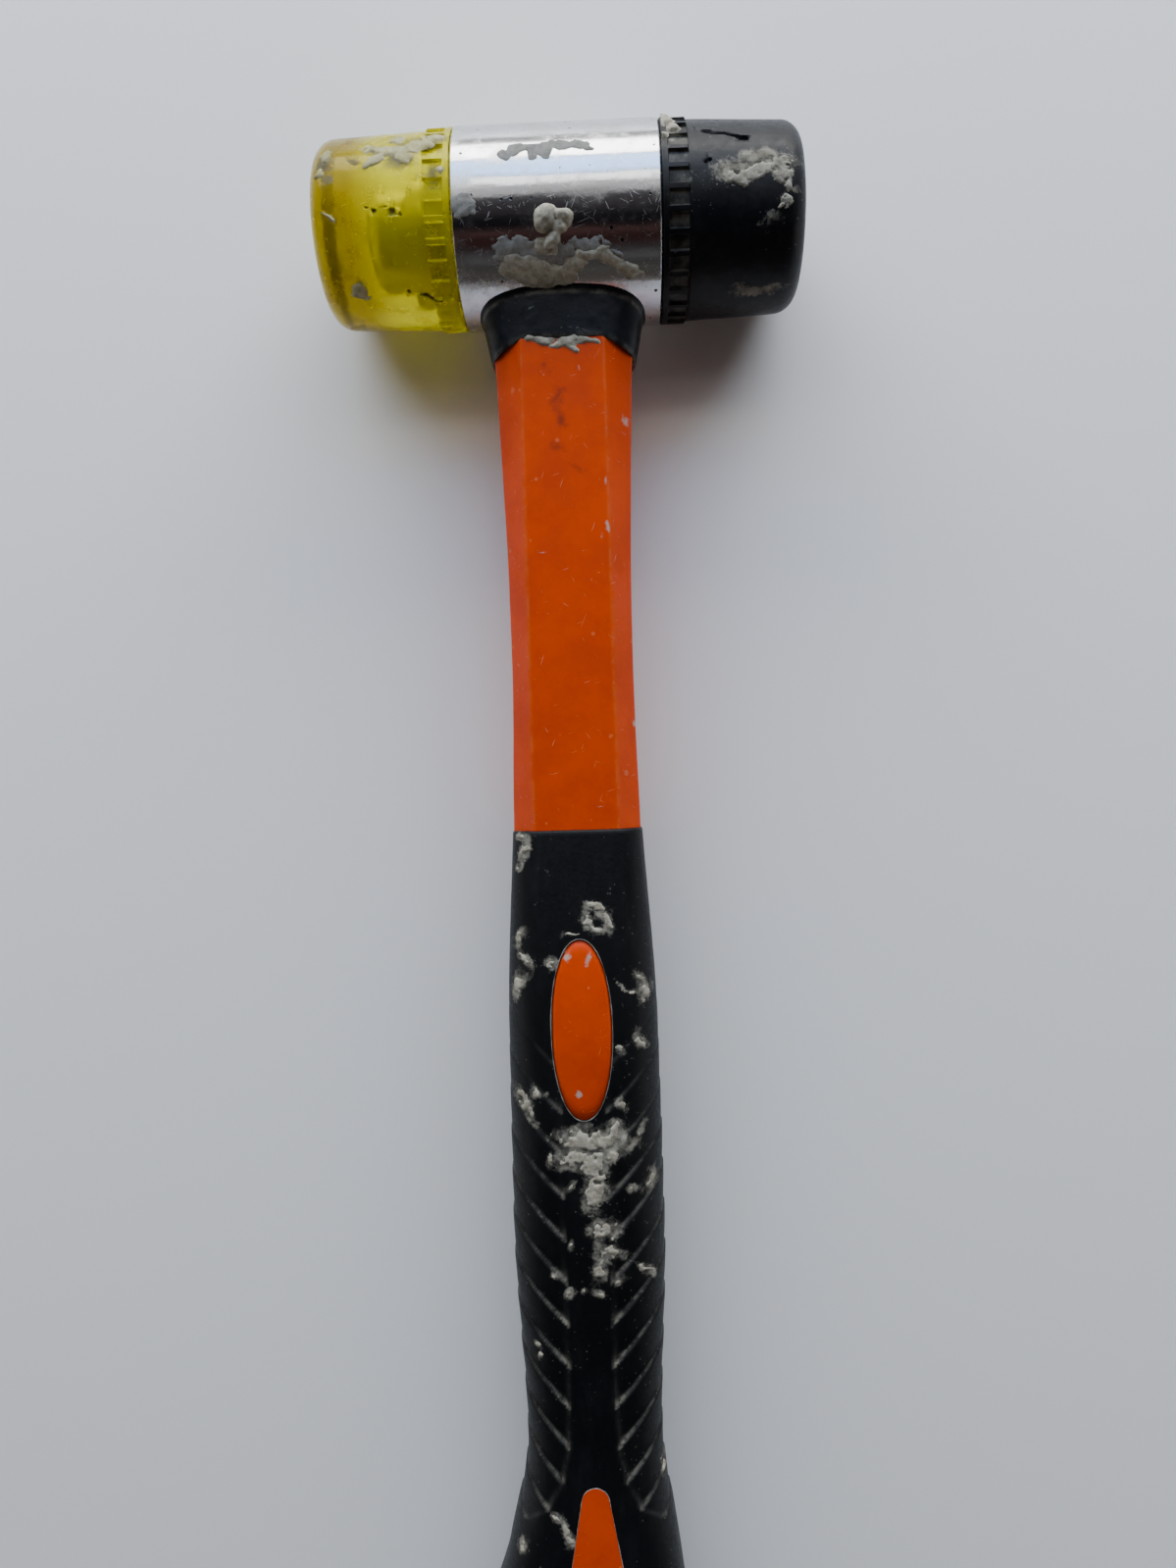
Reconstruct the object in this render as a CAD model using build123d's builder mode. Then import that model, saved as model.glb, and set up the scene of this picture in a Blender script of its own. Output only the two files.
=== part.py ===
from build123d import *
import os

# Double-faced soft mallet, lying flat. X runs along the head, with the clear yellow face at -X
# and the black rubber face at +X. Y runs along the handle, with the head at +Y. Z is up.
# The origin is at the bottom centre of the whole mallet. All sizes are in millimetres.

# Overall
overall_length = 308.0  # butt end to the far side of the head
head_diameter = 37.0
head_length = 39.0  # the plated cylinder alone
face_length = 27.0  # one screw-on face, seam to striking end

# Glass-fibre rod, the backbone of the handle
rod_width = 17.0
rod_thickness = 10.5
rod_end_gap = 26.0  # rod's end to the butt end

# Head
head_edge = 0.4  # chamfer round each end
eye_side_gap = 2.5  # epoxy between the rod and the eye, along the head
eye_face_gap = 2.0  # the same, front and back
eye_recess = 1.7  # the filler and the rod stop this far short of the top of the head

# Threaded stud at each end of the head
stud_diameter = 14.0
stud_reach = 15.5  # seam to the stud's tip
stud_tip_chamfer = 1.2
shoulder_diameter = 22.0
shoulder_length = 4.5
spigot_diameter = 12.0
spigot_wall = 2.5  # steel left between the spigot and the eye

# Washer between the shoulder and the face
washer_inset = 0.5  # how far its edge stands in from the shoulder's
washer_thickness = 1.2

# Screw-on face
rim_inset = 0.1  # the radii of the face are all given as insets from the head's
rim_width = 1.1
band_width = 3.8  # length of the gripping ribs
field_inset = 0.8  # floor between the ribs
rib_count = 30
rib_width = 0.9
face_root_inset = 0.6
face_tip_inset = 1.3
face_edge_radius = 4.0

# Clearances
seat_gap = 0.1  # between parts that are screwed up face to face
thread_clearance = 0.1  # radial, stud to face and stud to washer
shoulder_clearance = 0.3  # radial, shoulder to face
socket_end_gap = 0.8  # stud tip to the bottom of the socket

# Rubber collar at the neck
collar_top_wall = 2.2  # at the sides, inside the head's outline
collar_top_cover = 1.45  # the same, front and back
collar_end_wall = 0.2
collar_end_cover = 0.65
collar_side_reach = 9.2  # past the head's surface, at the sides
collar_front_reach = 6.5  # past the head's surface, at the middle
collar_corner = 8.0

# Orange shank, an eight-sided bar
neck_gap = 0.5  # head's surface to the end of the plastic
neck_width = 28.0
shoulder_width = 26.4
shoulder_drop = 13.5  # head's surface to the shoulder section
waist_width = 23.6
waist_share = 0.62  # waist's place between the shoulder and the grip
shank_end_width = 24.8
shank_thickness = 17.5
shank_flat = 16.0  # width of the front and back flats
shank_side = 8.0  # height of the side flats

# Tang under the grip, a plastic coat on the rod
tang_wall = 1.5  # at the sides
tang_cover = 2.0  # front and back
tang_bevel = 3.0
tang_end_gap = 8.0  # tang's end to the butt end

# Grip, whose sections are placed from the butt end
grip_length = 170.5
grip_top_step = 0.3  # the grip's edge stands this far out from the shank's side
grip_top_cover = 0.55  # the same, front and back
grip_top_corner = 6.0
chest_from_butt = 132.0
chest_width = 29.4
chest_thickness = 22.6
chest_corner = 9.5
palm_from_butt = 93.0
palm_width = 30.0
palm_thickness = 23.4
palm_corner = 10.5
wrist_from_butt = 53.0
wrist_width = 26.8
wrist_thickness = 21.6
wrist_corner = 9.8
flare_from_butt = 30.0
flare_width = 33.5
flare_thickness = 24.0
flare_corner = 10.0
flare_shift = 0.8  # the butt leans towards the yellow side
butt_from_end = 12.0
butt_width = 40.0
butt_thickness = 26.0
butt_corner = 10.0
butt_shift = 2.4
end_width = 36.0
end_thickness = 23.0
end_corner = 9.0
end_edge_radius = 6.0

# Orange windows in the grip
window_length = 34.0
window_width = 11.5
window_from_butt = 132.8
tongue_from_butt = 46.2
tongue_tip_radius = 2.6
tongue_radius = 8.0

# Hanging hole
hang_hole_diameter = 7.0
hang_hole_from_butt = 13.0

# Places worked out from the sizes above
head_radius = head_diameter / 2
head_y = overall_length / 2 - head_radius
butt_y = -overall_length / 2
neck_y = head_y - head_radius
grip_y = butt_y + grip_length
face_seat = head_length / 2 + seat_gap
washer_seat = head_length / 2 + shoulder_length + seat_gap
face_seat_inner = washer_seat + washer_thickness + seat_gap
head_centre = (0, head_y, head_radius)
head_axis = Axis(head_centre, (1, 0, 0))
head_plane = Plane(head_centre)
spigot_depth = (head_length - rod_width) / 2 - eye_side_gap - spigot_wall
tang_width = rod_width + 2 * tang_wall
tang_thickness = rod_thickness + 2 * tang_cover


def across(y, shift=0.0):
    """Plane across the handle at y: its own x is X, its own y is Z, and it faces the butt."""
    return Plane(origin=(shift, y, head_radius), x_dir=(1, 0, 0), z_dir=(0, -1, 0))


def along(x):
    """Plane across the head at x, facing +X."""
    return Plane(origin=(x, head_y, head_radius), x_dir=(0, 1, 0), z_dir=(1, 0, 0))


def eight_sided(width, thickness, flat, side):
    """Corner points of a flattened bar's section: flat is its front's width, side its side's height."""
    corner = [(flat / 2, thickness / 2), (width / 2, side / 2)]
    right = corner + [(x, -y) for x, y in reversed(corner)]
    left = [(-x, -y) for x, y in right]
    return right + left


# ---- Head: one plated steel cylinder with an eye through it and a tapped hole in each end ----
with BuildPart() as head_body:
    with BuildSketch(along(-head_length / 2)):
        Circle(head_radius)
    extrude(amount=head_length)
    chamfer(head_body.edges().filter_by(GeomType.CIRCLE), head_edge)
    with BuildSketch(across(head_y)):
        SlotOverall(rod_width + 2 * eye_side_gap, rod_thickness + 2 * eye_face_gap)
    extrude(amount=head_diameter, both=True, mode=Mode.SUBTRACT)
    for end in (-1, 1):
        with BuildSketch(along(end * head_length / 2)):
            Circle(spigot_diameter / 2)
        extrude(amount=-end * spigot_depth, mode=Mode.SUBTRACT)
head_body.part.label = "head_body"


# ---- Studs: turned steel, screwed into the head, each with a shoulder that backs the face ----
def stud():
    """Stud at the +X end, whose thread is a plain cylinder at its outer diameter."""
    with BuildPart() as made:
        with BuildSketch(along(head_length / 2 - spigot_depth)):
            Circle(spigot_diameter / 2)
        extrude(amount=spigot_depth)
        with BuildSketch(along(head_length / 2)):
            Circle(shoulder_diameter / 2)
        extrude(amount=shoulder_length)
        with BuildSketch(along(head_length / 2 + shoulder_length)):
            Circle(stud_diameter / 2)
        extrude(amount=stud_reach - shoulder_length)
        tip = made.faces().sort_by(Axis.X)[-1]
        chamfer(tip.edges(), stud_tip_chamfer)
    return made.part


with BuildPart() as black_stud:
    add(stud())
black_stud.part.label = "black_stud"

with BuildPart() as yellow_stud:
    add(mirror(stud(), about=Plane.YZ))
yellow_stud.part.label = "yellow_stud"


# ---- Washers: flat steel rings that travel on the studs with the faces ----
def washer():
    """Washer at the +X end, just clear of the stud's shoulder."""
    with BuildPart() as made:
        with BuildSketch(along(washer_seat)):
            Circle(shoulder_diameter / 2 - washer_inset)
            Circle(stud_diameter / 2 + thread_clearance, mode=Mode.SUBTRACT)
        extrude(amount=washer_thickness)
    return made.part


with BuildPart() as black_washer:
    add(washer())
black_washer.part.label = "black_washer"

with BuildPart() as yellow_washer:
    add(mirror(washer(), about=Plane.YZ))
yellow_washer.part.label = "yellow_washer"


# ---- Faces: moulded soft caps with a ribbed band for the hand and a socket for the stud ----
def screw_face():
    """Face at the +X end: a turned outline, a stepped socket, and ribs round the band."""
    band_start = face_seat + rim_width
    band_end = band_start + band_width
    strike = face_seat + face_length
    with BuildPart() as made:
        with BuildSketch(head_plane):
            with BuildLine():
                Polyline(
                    (strike, 0),
                    (face_seat, 0),
                    (face_seat, head_radius - rim_inset),
                    (band_start, head_radius - rim_inset),
                    (band_start, head_radius - field_inset),
                    (band_end, head_radius - field_inset),
                    (band_end, head_radius - face_root_inset),
                    (strike, head_radius - face_tip_inset),
                    (strike, 0),
                )
            make_face()
        revolve(axis=head_axis)
        striking_end = made.faces().sort_by(Axis.X)[-1]
        fillet(striking_end.edges(), face_edge_radius)
        with BuildSketch(along(face_seat)):
            Circle(shoulder_diameter / 2 + shoulder_clearance)
        extrude(amount=face_seat_inner - face_seat, mode=Mode.SUBTRACT)
        with BuildSketch(along(face_seat)):
            Circle(stud_diameter / 2 + thread_clearance)
        socket_depth = head_length / 2 + stud_reach + socket_end_gap - face_seat
        extrude(amount=socket_depth, mode=Mode.SUBTRACT)
        rib_root = head_radius - field_inset - rib_width
        rib_height = head_radius - rim_inset - rib_root
        with BuildSketch(along(band_start)):
            with PolarLocations(rib_root + rib_height / 2, rib_count):
                Rectangle(rib_height, rib_width)
        extrude(amount=band_width)
    return made.part


with BuildPart() as black_face:
    add(screw_face())
black_face.part.label = "black_face"

with BuildPart() as yellow_face:
    add(mirror(screw_face(), about=Plane.YZ))
yellow_face.part.label = "yellow_face"


# ---- Handle rod: a pultruded glass-fibre bar from the eye down to the butt ----
rod_top_y = head_y + head_radius - eye_recess
with BuildPart() as handle_rod:
    with BuildSketch(across(rod_top_y)):
        SlotOverall(rod_width, rod_thickness)
    extrude(amount=rod_top_y - butt_y - rod_end_gap)
handle_rod.part.label = "handle_rod"


# ---- Eye filler: cast epoxy that locks the rod in the eye, open at the top of the head ----
with BuildPart() as eye_filler:
    with BuildSketch(across(head_y)):
        SlotOverall(rod_width + 2 * eye_side_gap, rod_thickness + 2 * eye_face_gap)
        SlotOverall(rod_width, rod_thickness, mode=Mode.SUBTRACT)
    extrude(amount=head_radius - eye_recess, both=True)
eye_filler.part.label = "eye_filler"


# ---- Outer forms of the shank and of the grip, used by the pieces below ----
shoulder_y = neck_y - shoulder_drop
waist_y = shoulder_y - waist_share * (shoulder_y - grip_y)
shank_sections = [
    (neck_y - neck_gap, neck_width),
    (shoulder_y, shoulder_width),
    (waist_y, waist_width),
    (grip_y, shank_end_width),
]
with BuildPart() as shank_form:
    for y, width in shank_sections:
        with BuildSketch(across(y)):
            Polygon(*eight_sided(width, shank_thickness, shank_flat, shank_side), align=None)
    loft()

grip_top_width = shank_end_width + 2 * grip_top_step
grip_top_thickness = shank_thickness + 2 * grip_top_cover
wrist_section = (wrist_from_butt, wrist_width, wrist_thickness, wrist_corner, 0)
palm_sections = [
    (grip_length, grip_top_width, grip_top_thickness, grip_top_corner, 0),
    (chest_from_butt, chest_width, chest_thickness, chest_corner, 0),
    (palm_from_butt, palm_width, palm_thickness, palm_corner, 0),
    wrist_section,
]
butt_sections = [
    wrist_section,
    (flare_from_butt, flare_width, flare_thickness, flare_corner, flare_shift),
    (butt_from_end, butt_width, butt_thickness, butt_corner, butt_shift),
    (0, end_width, end_thickness, end_corner, butt_shift),
]
with BuildPart() as grip_form:
    for sections in (palm_sections, butt_sections):
        for from_butt, width, thickness, corner, shift in sections:
            with BuildSketch(across(butt_y + from_butt, -shift)):
                RectangleRounded(width, thickness, corner)
        loft()
    butt_end = grip_form.faces().sort_by(Axis.Y)[0]
    fillet(butt_end.edges(), end_edge_radius)


tang_outline = eight_sided(
    tang_width, tang_thickness, tang_width - 2 * tang_bevel, tang_thickness - 2 * tang_bevel
)


# ---- Jacket: orange plastic moulded on the rod, with pads that show through the grip ----
with BuildPart() as window_pads:
    with BuildSketch(Plane((0, butt_y, head_radius))):
        with Locations((0, window_from_butt)):
            Ellipse(window_width / 2, window_length / 2)
    extrude(amount=head_radius, both=True)
    with BuildSketch(Plane((0, butt_y, head_radius))):
        with Locations((0, tongue_from_butt - tongue_tip_radius)):
            Circle(tongue_tip_radius)
        with Locations((0, hang_hole_from_butt)):
            Circle(tongue_radius)
        make_hull()
        with Locations((0, hang_hole_from_butt / 2)):
            Rectangle(2 * tongue_radius, hang_hole_from_butt)
    extrude(amount=head_radius, both=True)
    add(grip_form.part, mode=Mode.INTERSECT)

with BuildPart() as handle_jacket:
    add(shank_form.part)
    with BuildSketch(across(grip_y)):
        Polygon(*tang_outline, align=None)
    extrude(amount=grip_length - tang_end_gap)
    add(window_pads.part)
    add(handle_rod.part, mode=Mode.SUBTRACT)
    with BuildSketch(Plane((0, butt_y + hang_hole_from_butt, 0))):
        Circle(hang_hole_diameter / 2)
    extrude(amount=head_diameter, mode=Mode.SUBTRACT)
handle_jacket.part.label = "handle_jacket"


# ---- Grip: soft black rubber moulded over the tang, round the pads and the butt's tongue ----
with BuildPart() as grip:
    add(grip_form.part)
    with BuildSketch(across(grip_y)):
        Polygon(*tang_outline, align=None)
    extrude(amount=grip_length - tang_end_gap, mode=Mode.SUBTRACT)
    add(window_pads.part, mode=Mode.SUBTRACT)
grip.part.label = "grip"


# ---- Neck collar: a tapered rubber boot, hollowed to the head's curve above ----
collar_end_y = neck_y - collar_side_reach
with BuildPart() as neck_collar:
    with BuildSketch(across(head_y - head_radius / 2)):
        RectangleRounded(
            neck_width + 2 * collar_top_wall, shank_thickness + 2 * collar_top_cover, collar_corner
        )
    with BuildSketch(across(collar_end_y)):
        RectangleRounded(
            neck_width + 2 * collar_end_wall, shank_thickness + 2 * collar_end_cover, collar_corner
        )
    loft()
    with BuildSketch(along(-head_length)):
        Circle(head_radius)
    extrude(amount=2 * head_length, mode=Mode.SUBTRACT)
    with BuildSketch(Plane((0, neck_y, 0))):
        with BuildLine():
            reach = neck_width / 2 + collar_end_wall
            edge = ThreePointArc(
                (-reach, -collar_side_reach), (0, -collar_front_reach), (reach, -collar_side_reach)
            )
            Line(edge @ 0, edge @ 1)
        make_face()
    extrude(amount=head_diameter, mode=Mode.SUBTRACT)
    add(shank_form.part, mode=Mode.SUBTRACT)
    add(handle_rod.part, mode=Mode.SUBTRACT)
neck_collar.part.label = "neck_collar"


# ---- Write every piece ----
os.makedirs("parts", exist_ok=True)
export_step(head_body.part, "parts/head_body.step")
export_step(yellow_stud.part, "parts/yellow_stud.step")
export_step(black_stud.part, "parts/black_stud.step")
export_step(yellow_washer.part, "parts/yellow_washer.step")
export_step(black_washer.part, "parts/black_washer.step")
export_step(yellow_face.part, "parts/yellow_face.step")
export_step(black_face.part, "parts/black_face.step")
export_step(handle_rod.part, "parts/handle_rod.step")
export_step(eye_filler.part, "parts/eye_filler.step")
export_step(handle_jacket.part, "parts/handle_jacket.step")
export_step(grip.part, "parts/grip.step")
export_step(neck_collar.part, "parts/neck_collar.step")
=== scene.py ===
import bpy
import math
import numpy as np
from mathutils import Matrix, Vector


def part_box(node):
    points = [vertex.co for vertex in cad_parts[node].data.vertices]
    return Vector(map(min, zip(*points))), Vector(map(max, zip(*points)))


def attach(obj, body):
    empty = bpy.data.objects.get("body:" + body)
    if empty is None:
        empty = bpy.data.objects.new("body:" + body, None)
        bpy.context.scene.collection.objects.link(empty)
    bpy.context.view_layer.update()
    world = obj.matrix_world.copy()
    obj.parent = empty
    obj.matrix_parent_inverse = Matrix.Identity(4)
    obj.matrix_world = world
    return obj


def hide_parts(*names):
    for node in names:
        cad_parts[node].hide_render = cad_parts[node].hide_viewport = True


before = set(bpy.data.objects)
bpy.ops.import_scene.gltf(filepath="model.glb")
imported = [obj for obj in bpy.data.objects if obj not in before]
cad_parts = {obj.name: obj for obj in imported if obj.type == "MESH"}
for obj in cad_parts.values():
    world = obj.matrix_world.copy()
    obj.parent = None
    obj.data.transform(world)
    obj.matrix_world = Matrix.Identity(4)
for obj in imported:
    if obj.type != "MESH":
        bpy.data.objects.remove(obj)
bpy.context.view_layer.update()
mm = 0.001

# ---- Camera, bench and lights ----
# The mallet lies on a pale bench. Its head is thicker than its butt, so the bench is tipped by about a
# degree against the mallet's own axes, and both of them touch it. The light is a tall window of soft
# panels beyond the head, over a room with a dark ceiling. The camera itself sees a plain backdrop.
head_low, head_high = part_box("head_body")
grip_low, grip_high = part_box("grip")
head_radius = (head_high.z - head_low.z) / 2
head_half = (head_high.x - head_low.x) / 2
head_y = (head_high.y + head_low.y) / 2
axis_z = head_low.z + head_radius
butt_y = grip_low.y
butt_rest_y = butt_y + 12 * mm
bench_slope = (grip_low.z - head_low.z) / (head_y - butt_rest_y)
bench_half = 14.0
bench_colour = (0.93, 0.93, 0.925, 1)
# The room's tone by direction, in degrees from straight up towards +Y: dark and brownish on the near
# side and overhead, pale beyond the window.
room_bands = [
    (-110, (0.12, 0.11, 0.10)),
    (-92, (0.10, 0.085, 0.075)),
    (-80, (0.055, 0.05, 0.045)),
    (-72, (0.07, 0.066, 0.058)),
    (-65, (0.040, 0.038, 0.036)),
    (-58, (0.085, 0.082, 0.08)),
    (-47, (0.035, 0.031, 0.032)),
    (-41, (0.030, 0.013, 0.012)),
    (-33, (0.026, 0.012, 0.010)),
    (-28, (0.075, 0.040, 0.036)),
    (-23, (0.006, 0.005, 0.006)),
    (-14, (0.006, 0.006, 0.008)),
    (-5, (0.030, 0.025, 0.026)),
    (6, (0.045, 0.040, 0.042)),
    (20, (0.14, 0.145, 0.15)),
    (100, (0.42, 0.42, 0.42)),
]
camera_offset = (8.5 * mm, -110.5 * mm, 223.8 * mm)  # from the middle of the head
camera_turn = (0, math.radians(1.605), math.radians(-1.696))
camera_lens = 25.9


def add_node(tree, kind, sockets=None, **settings):
    """A node with its settings, and with each named socket given a value or linked to an output."""
    made = tree.nodes.new(kind)
    for key, value in settings.items():
        setattr(made, key, value)
    for key, value in (sockets or {}).items():
        if isinstance(value, bpy.types.NodeSocket):
            tree.links.new(value, made.inputs[key])
        else:
            made.inputs[key].default_value = value
    return made


def new_material(name, **sockets):
    """A material whose Principled shader has the given plain values, with its tree, its shader and the
    output of its Object coordinates."""
    made = bpy.data.materials.new(name)
    made.use_nodes = True
    shader = made.node_tree.nodes["Principled BSDF"]
    for key, value in sockets.items():
        shader.inputs[key.replace("_", " ")].default_value = value
    where = add_node(made.node_tree, "ShaderNodeTexCoord").outputs["Object"]
    return made, made.node_tree, shader, where


def lay_bench():
    """A flat sheet whose height rises along -Y by the bench's slope."""
    corners = []
    for x, y in ((-1, -1), (1, -1), (1, 1), (-1, 1)):
        along = head_y + y * bench_half
        corners.append((x * bench_half, along, head_low.z + (head_y - along) * bench_slope))
    mesh = bpy.data.meshes.new("bench")
    mesh.from_pydata(corners, [], [(0, 1, 2, 3)])
    bench = bpy.data.objects.new("bench", mesh)
    bpy.context.scene.collection.objects.link(bench)
    paint, tree, shader, where = new_material("pale_bench", Base_Color=bench_colour, Roughness=0.7)
    # Painted light: the bench glows, from nothing at 0.4 m to full at 1.5 m from its middle, so that the far
    # floor stays pale.
    away = add_node(tree, "ShaderNodeVectorMath", {0: where}, operation="LENGTH").outputs["Value"]
    sockets = {"Value": away, "From Min": 0.4, "From Max": 1.5, "To Max": 0.5}
    far_glow = add_node(tree, "ShaderNodeMapRange", sockets, interpolation_type="SMOOTHSTEP")
    tree.links.new(far_glow.outputs["Result"], shader.inputs["Emission Strength"])
    shader.inputs["Emission Color"].default_value = (1, 1, 1, 1)
    mesh.materials.append(paint)
    return bench


def hang_light(name, tilt, width, height, power, colour, distance=0.9, turn=0.0):
    """A soft panel that faces the head from tilt degrees off the vertical towards +Y, turned about Z."""
    lamp = bpy.data.lights.new(name, "AREA")
    lamp.shape = "RECTANGLE"
    lamp.size = width
    lamp.size_y = height
    lamp.energy = power
    lamp.color = colour
    holder = bpy.data.objects.new(name, lamp)
    bpy.context.scene.collection.objects.link(holder)
    lean = math.radians(tilt)
    reach = distance * math.sin(lean)
    side = math.radians(turn)
    holder.location = (
        -reach * math.sin(side),
        head_y + reach * math.cos(side),
        axis_z + distance * math.cos(lean),
    )
    holder.rotation_euler = (-lean, 0, side)
    holder.visible_camera = False
    return holder


lay_bench()
hang_light("window_edge", 18, 1.7, 0.20, 0.5, (1.0, 0.98, 0.95))
hang_light("window_top", 30, 1.7, 0.14, 2.2, (1.0, 0.98, 0.94))
hang_light("window_sky", 46, 1.7, 0.30, 6.0, (0.38, 0.60, 1.0))
hang_light("window_low", 69, 1.7, 0.34, 17, (1.0, 0.985, 0.95))
hang_light("room_left", 80, 0.5, 0.3, 1.1, (1.0, 0.97, 0.93), 1.2, 105)
hang_light("room_right", 80, 0.5, 0.3, 1.1, (1.0, 0.97, 0.93), 1.2, -105)

world = bpy.data.worlds.new("room")
world.use_nodes = True
bpy.context.scene.world = world
room = world.node_tree
look = add_node(room, "ShaderNodeTexCoord")
toward = add_node(room, "ShaderNodeSeparateXYZ", {"Vector": look.outputs["Generated"]})
turned = add_node(
    room, "ShaderNodeMath", {0: toward.outputs["Y"], 1: toward.outputs["Z"]}, operation="ARCTAN2"
)
share = add_node(
    room, "ShaderNodeMapRange", {"Value": turned.outputs[0], "From Min": -math.pi, "From Max": math.pi}
)
walls = room.nodes.new("ShaderNodeValToRGB")
room.links.new(share.outputs["Result"], walls.inputs["Fac"])
walls.color_ramp.elements[0].color = (0.5, 0.5, 0.5, 1)
walls.color_ramp.elements[1].color = (0.5, 0.5, 0.5, 1)
for angle, colour in room_bands:
    stop = walls.color_ramp.elements.new((angle + 180) / 360)
    stop.color = (*colour, 1)
room.links.new(walls.outputs["Color"], room.nodes["Background"].inputs["Color"])
seen = add_node(room, "ShaderNodeLightPath").outputs["Is Camera Ray"]
plain = add_node(room, "ShaderNodeBackground", {"Color": (0.60, 0.60, 0.61, 1)})
sockets = {0: seen, 1: room.nodes["Background"].outputs[0], 2: plain.outputs[0]}
backdrop = add_node(room, "ShaderNodeMixShader", sockets)
room.links.new(backdrop.outputs[0], room.nodes["World Output"].inputs["Surface"])

camera_data = bpy.data.cameras.new("camera")
camera_data.lens = camera_lens
camera_data.clip_start = 0.01
camera = bpy.data.objects.new("camera", camera_data)
camera.location = (camera_offset[0], head_y + camera_offset[1], axis_z + camera_offset[2])
camera.rotation_euler = camera_turn
bpy.context.scene.collection.objects.link(camera)
bpy.context.scene.camera = camera

# ---- Head ----
# One piece of turned steel with a bright chrome plating, now scratched, finely pitted and clouded with
# dust. The CAD piece stays as it is and only gets its finish.


def new_group(name, inputs, outputs):
    """An empty shader group with named sockets, and its input and output nodes."""
    group = bpy.data.node_groups.new(name, "ShaderNodeTree")
    for label, kind, value in inputs:
        socket = group.interface.new_socket(label, in_out="INPUT", socket_type=kind)
        if value is not None:
            socket.default_value = value
    for label, kind in outputs:
        group.interface.new_socket(label, in_out="OUTPUT", socket_type=kind)
    entry = group.nodes.new("NodeGroupInput")
    leave = group.nodes.new("NodeGroupOutput")
    return group, entry, leave


def place_group(tree, group, **sockets):
    """The group as a node in a material, with its sockets given values or links."""
    made = tree.nodes.new("ShaderNodeGroup")
    made.node_tree = group
    for key, value in sockets.items():
        if isinstance(value, bpy.types.NodeSocket):
            tree.links.new(value, made.inputs[key])
        else:
            made.inputs[key].default_value = value
    return made


def noise(tree, vector, scale, detail=4.0, roughness=0.6):
    """The grey output of a noise texture on a vector."""
    sockets = {"Vector": vector, "Scale": scale, "Detail": detail, "Roughness": roughness}
    return add_node(tree, "ShaderNodeTexNoise", sockets).outputs["Fac"]


def remap(tree, value, low, high, to_low=0.0, to_high=1.0):
    """A value taken smoothly from one range to another, and held at its ends."""
    sockets = {"Value": value, "From Min": low, "From Max": high, "To Min": to_low, "To Max": to_high}
    made = add_node(tree, "ShaderNodeMapRange", sockets, interpolation_type="SMOOTHSTEP")
    return made.outputs["Result"]


def maths(tree, operation, first, second):
    """One sum on two numbers or outputs."""
    sockets = {0: first, 1: second}
    return add_node(tree, "ShaderNodeMath", sockets, operation=operation).outputs[0]


def mix_colour(tree, factor, first, second):
    """A colour between two colours."""
    made = add_node(tree, "ShaderNodeMix", data_type="RGBA")
    for key, value in ((0, factor), (6, first), (7, second)):
        if isinstance(value, bpy.types.NodeSocket):
            tree.links.new(value, made.inputs[key])
        else:
            made.inputs[key].default_value = value
    return made.outputs[2]


def stretched(tree, vector, scale):
    """A vector stretched by a factor along each axis."""
    return add_node(tree, "ShaderNodeMapping", {"Vector": vector, "Scale": scale}).outputs["Vector"]


def build_scratches():
    """Sparse hairlines: the peaks of noises that are stretched to thin streaks in three directions."""
    group, entry, leave = new_group(
        "hairline_scratches",
        [("Vector", "NodeSocketVector", None), ("Share", "NodeSocketFloat", 0.3)],
        [("Mask", "NodeSocketFloat")],
    )
    sockets = {"Value": entry.outputs["Share"], "To Min": 0.80, "To Max": 0.62}
    floor = add_node(group, "ShaderNodeMapRange", sockets)
    found = 0.0
    for turn, length, width in ((0.3, 4.5, 0.22), (-0.5, 3.0, 0.18), (1.2, 6.0, 0.25), (2.1, 3.5, 0.2)):
        stretch = (length * mm, width * mm, 1.5 * mm)
        sockets = {"Vector": entry.outputs["Vector"], "Rotation": (0.15, 0.1, turn), "Scale": stretch}
        turned = add_node(group, "ShaderNodeMapping", sockets, vector_type="TEXTURE").outputs["Vector"]
        over = maths(group, "SUBTRACT", noise(group, turned, 1.0, 1.0), floor.outputs["Result"])
        found = maths(group, "MAXIMUM", found, remap(group, over, 0.0, 0.05))
    group.links.new(found, leave.inputs["Mask"])
    return group


def build_specks():
    """Small scattered spots: cells whose random value is high, each filled near its middle."""
    group, entry, leave = new_group(
        "specks",
        [
            ("Vector", "NodeSocketVector", None),
            ("Scale", "NodeSocketFloat", 900.0),
            ("Share", "NodeSocketFloat", 0.2),
        ],
        [("Mask", "NodeSocketFloat")],
    )
    cells = add_node(
        group,
        "ShaderNodeTexVoronoi",
        {"Vector": entry.outputs["Vector"], "Scale": entry.outputs["Scale"]},
    )
    parted = add_node(group, "ShaderNodeSeparateXYZ", {"Vector": cells.outputs["Color"]})
    chosen = maths(group, "LESS_THAN", parted.outputs["X"], entry.outputs["Share"])
    size = maths(group, "MULTIPLY", parted.outputs["Y"], 0.45)
    inside = maths(group, "LESS_THAN", cells.outputs["Distance"], size)
    group.links.new(maths(group, "MULTIPLY", chosen, inside), leave.inputs["Mask"])
    return group


scratches = build_scratches()
specks = build_specks()


def raise_relief(tree, shader, height, strength, distance):
    """Feeds the shader's normal from a height."""
    bump = add_node(tree, "ShaderNodeBump", {"Height": height, "Strength": strength, "Distance": distance})
    tree.links.new(bump.outputs["Normal"], shader.inputs["Normal"])


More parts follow.
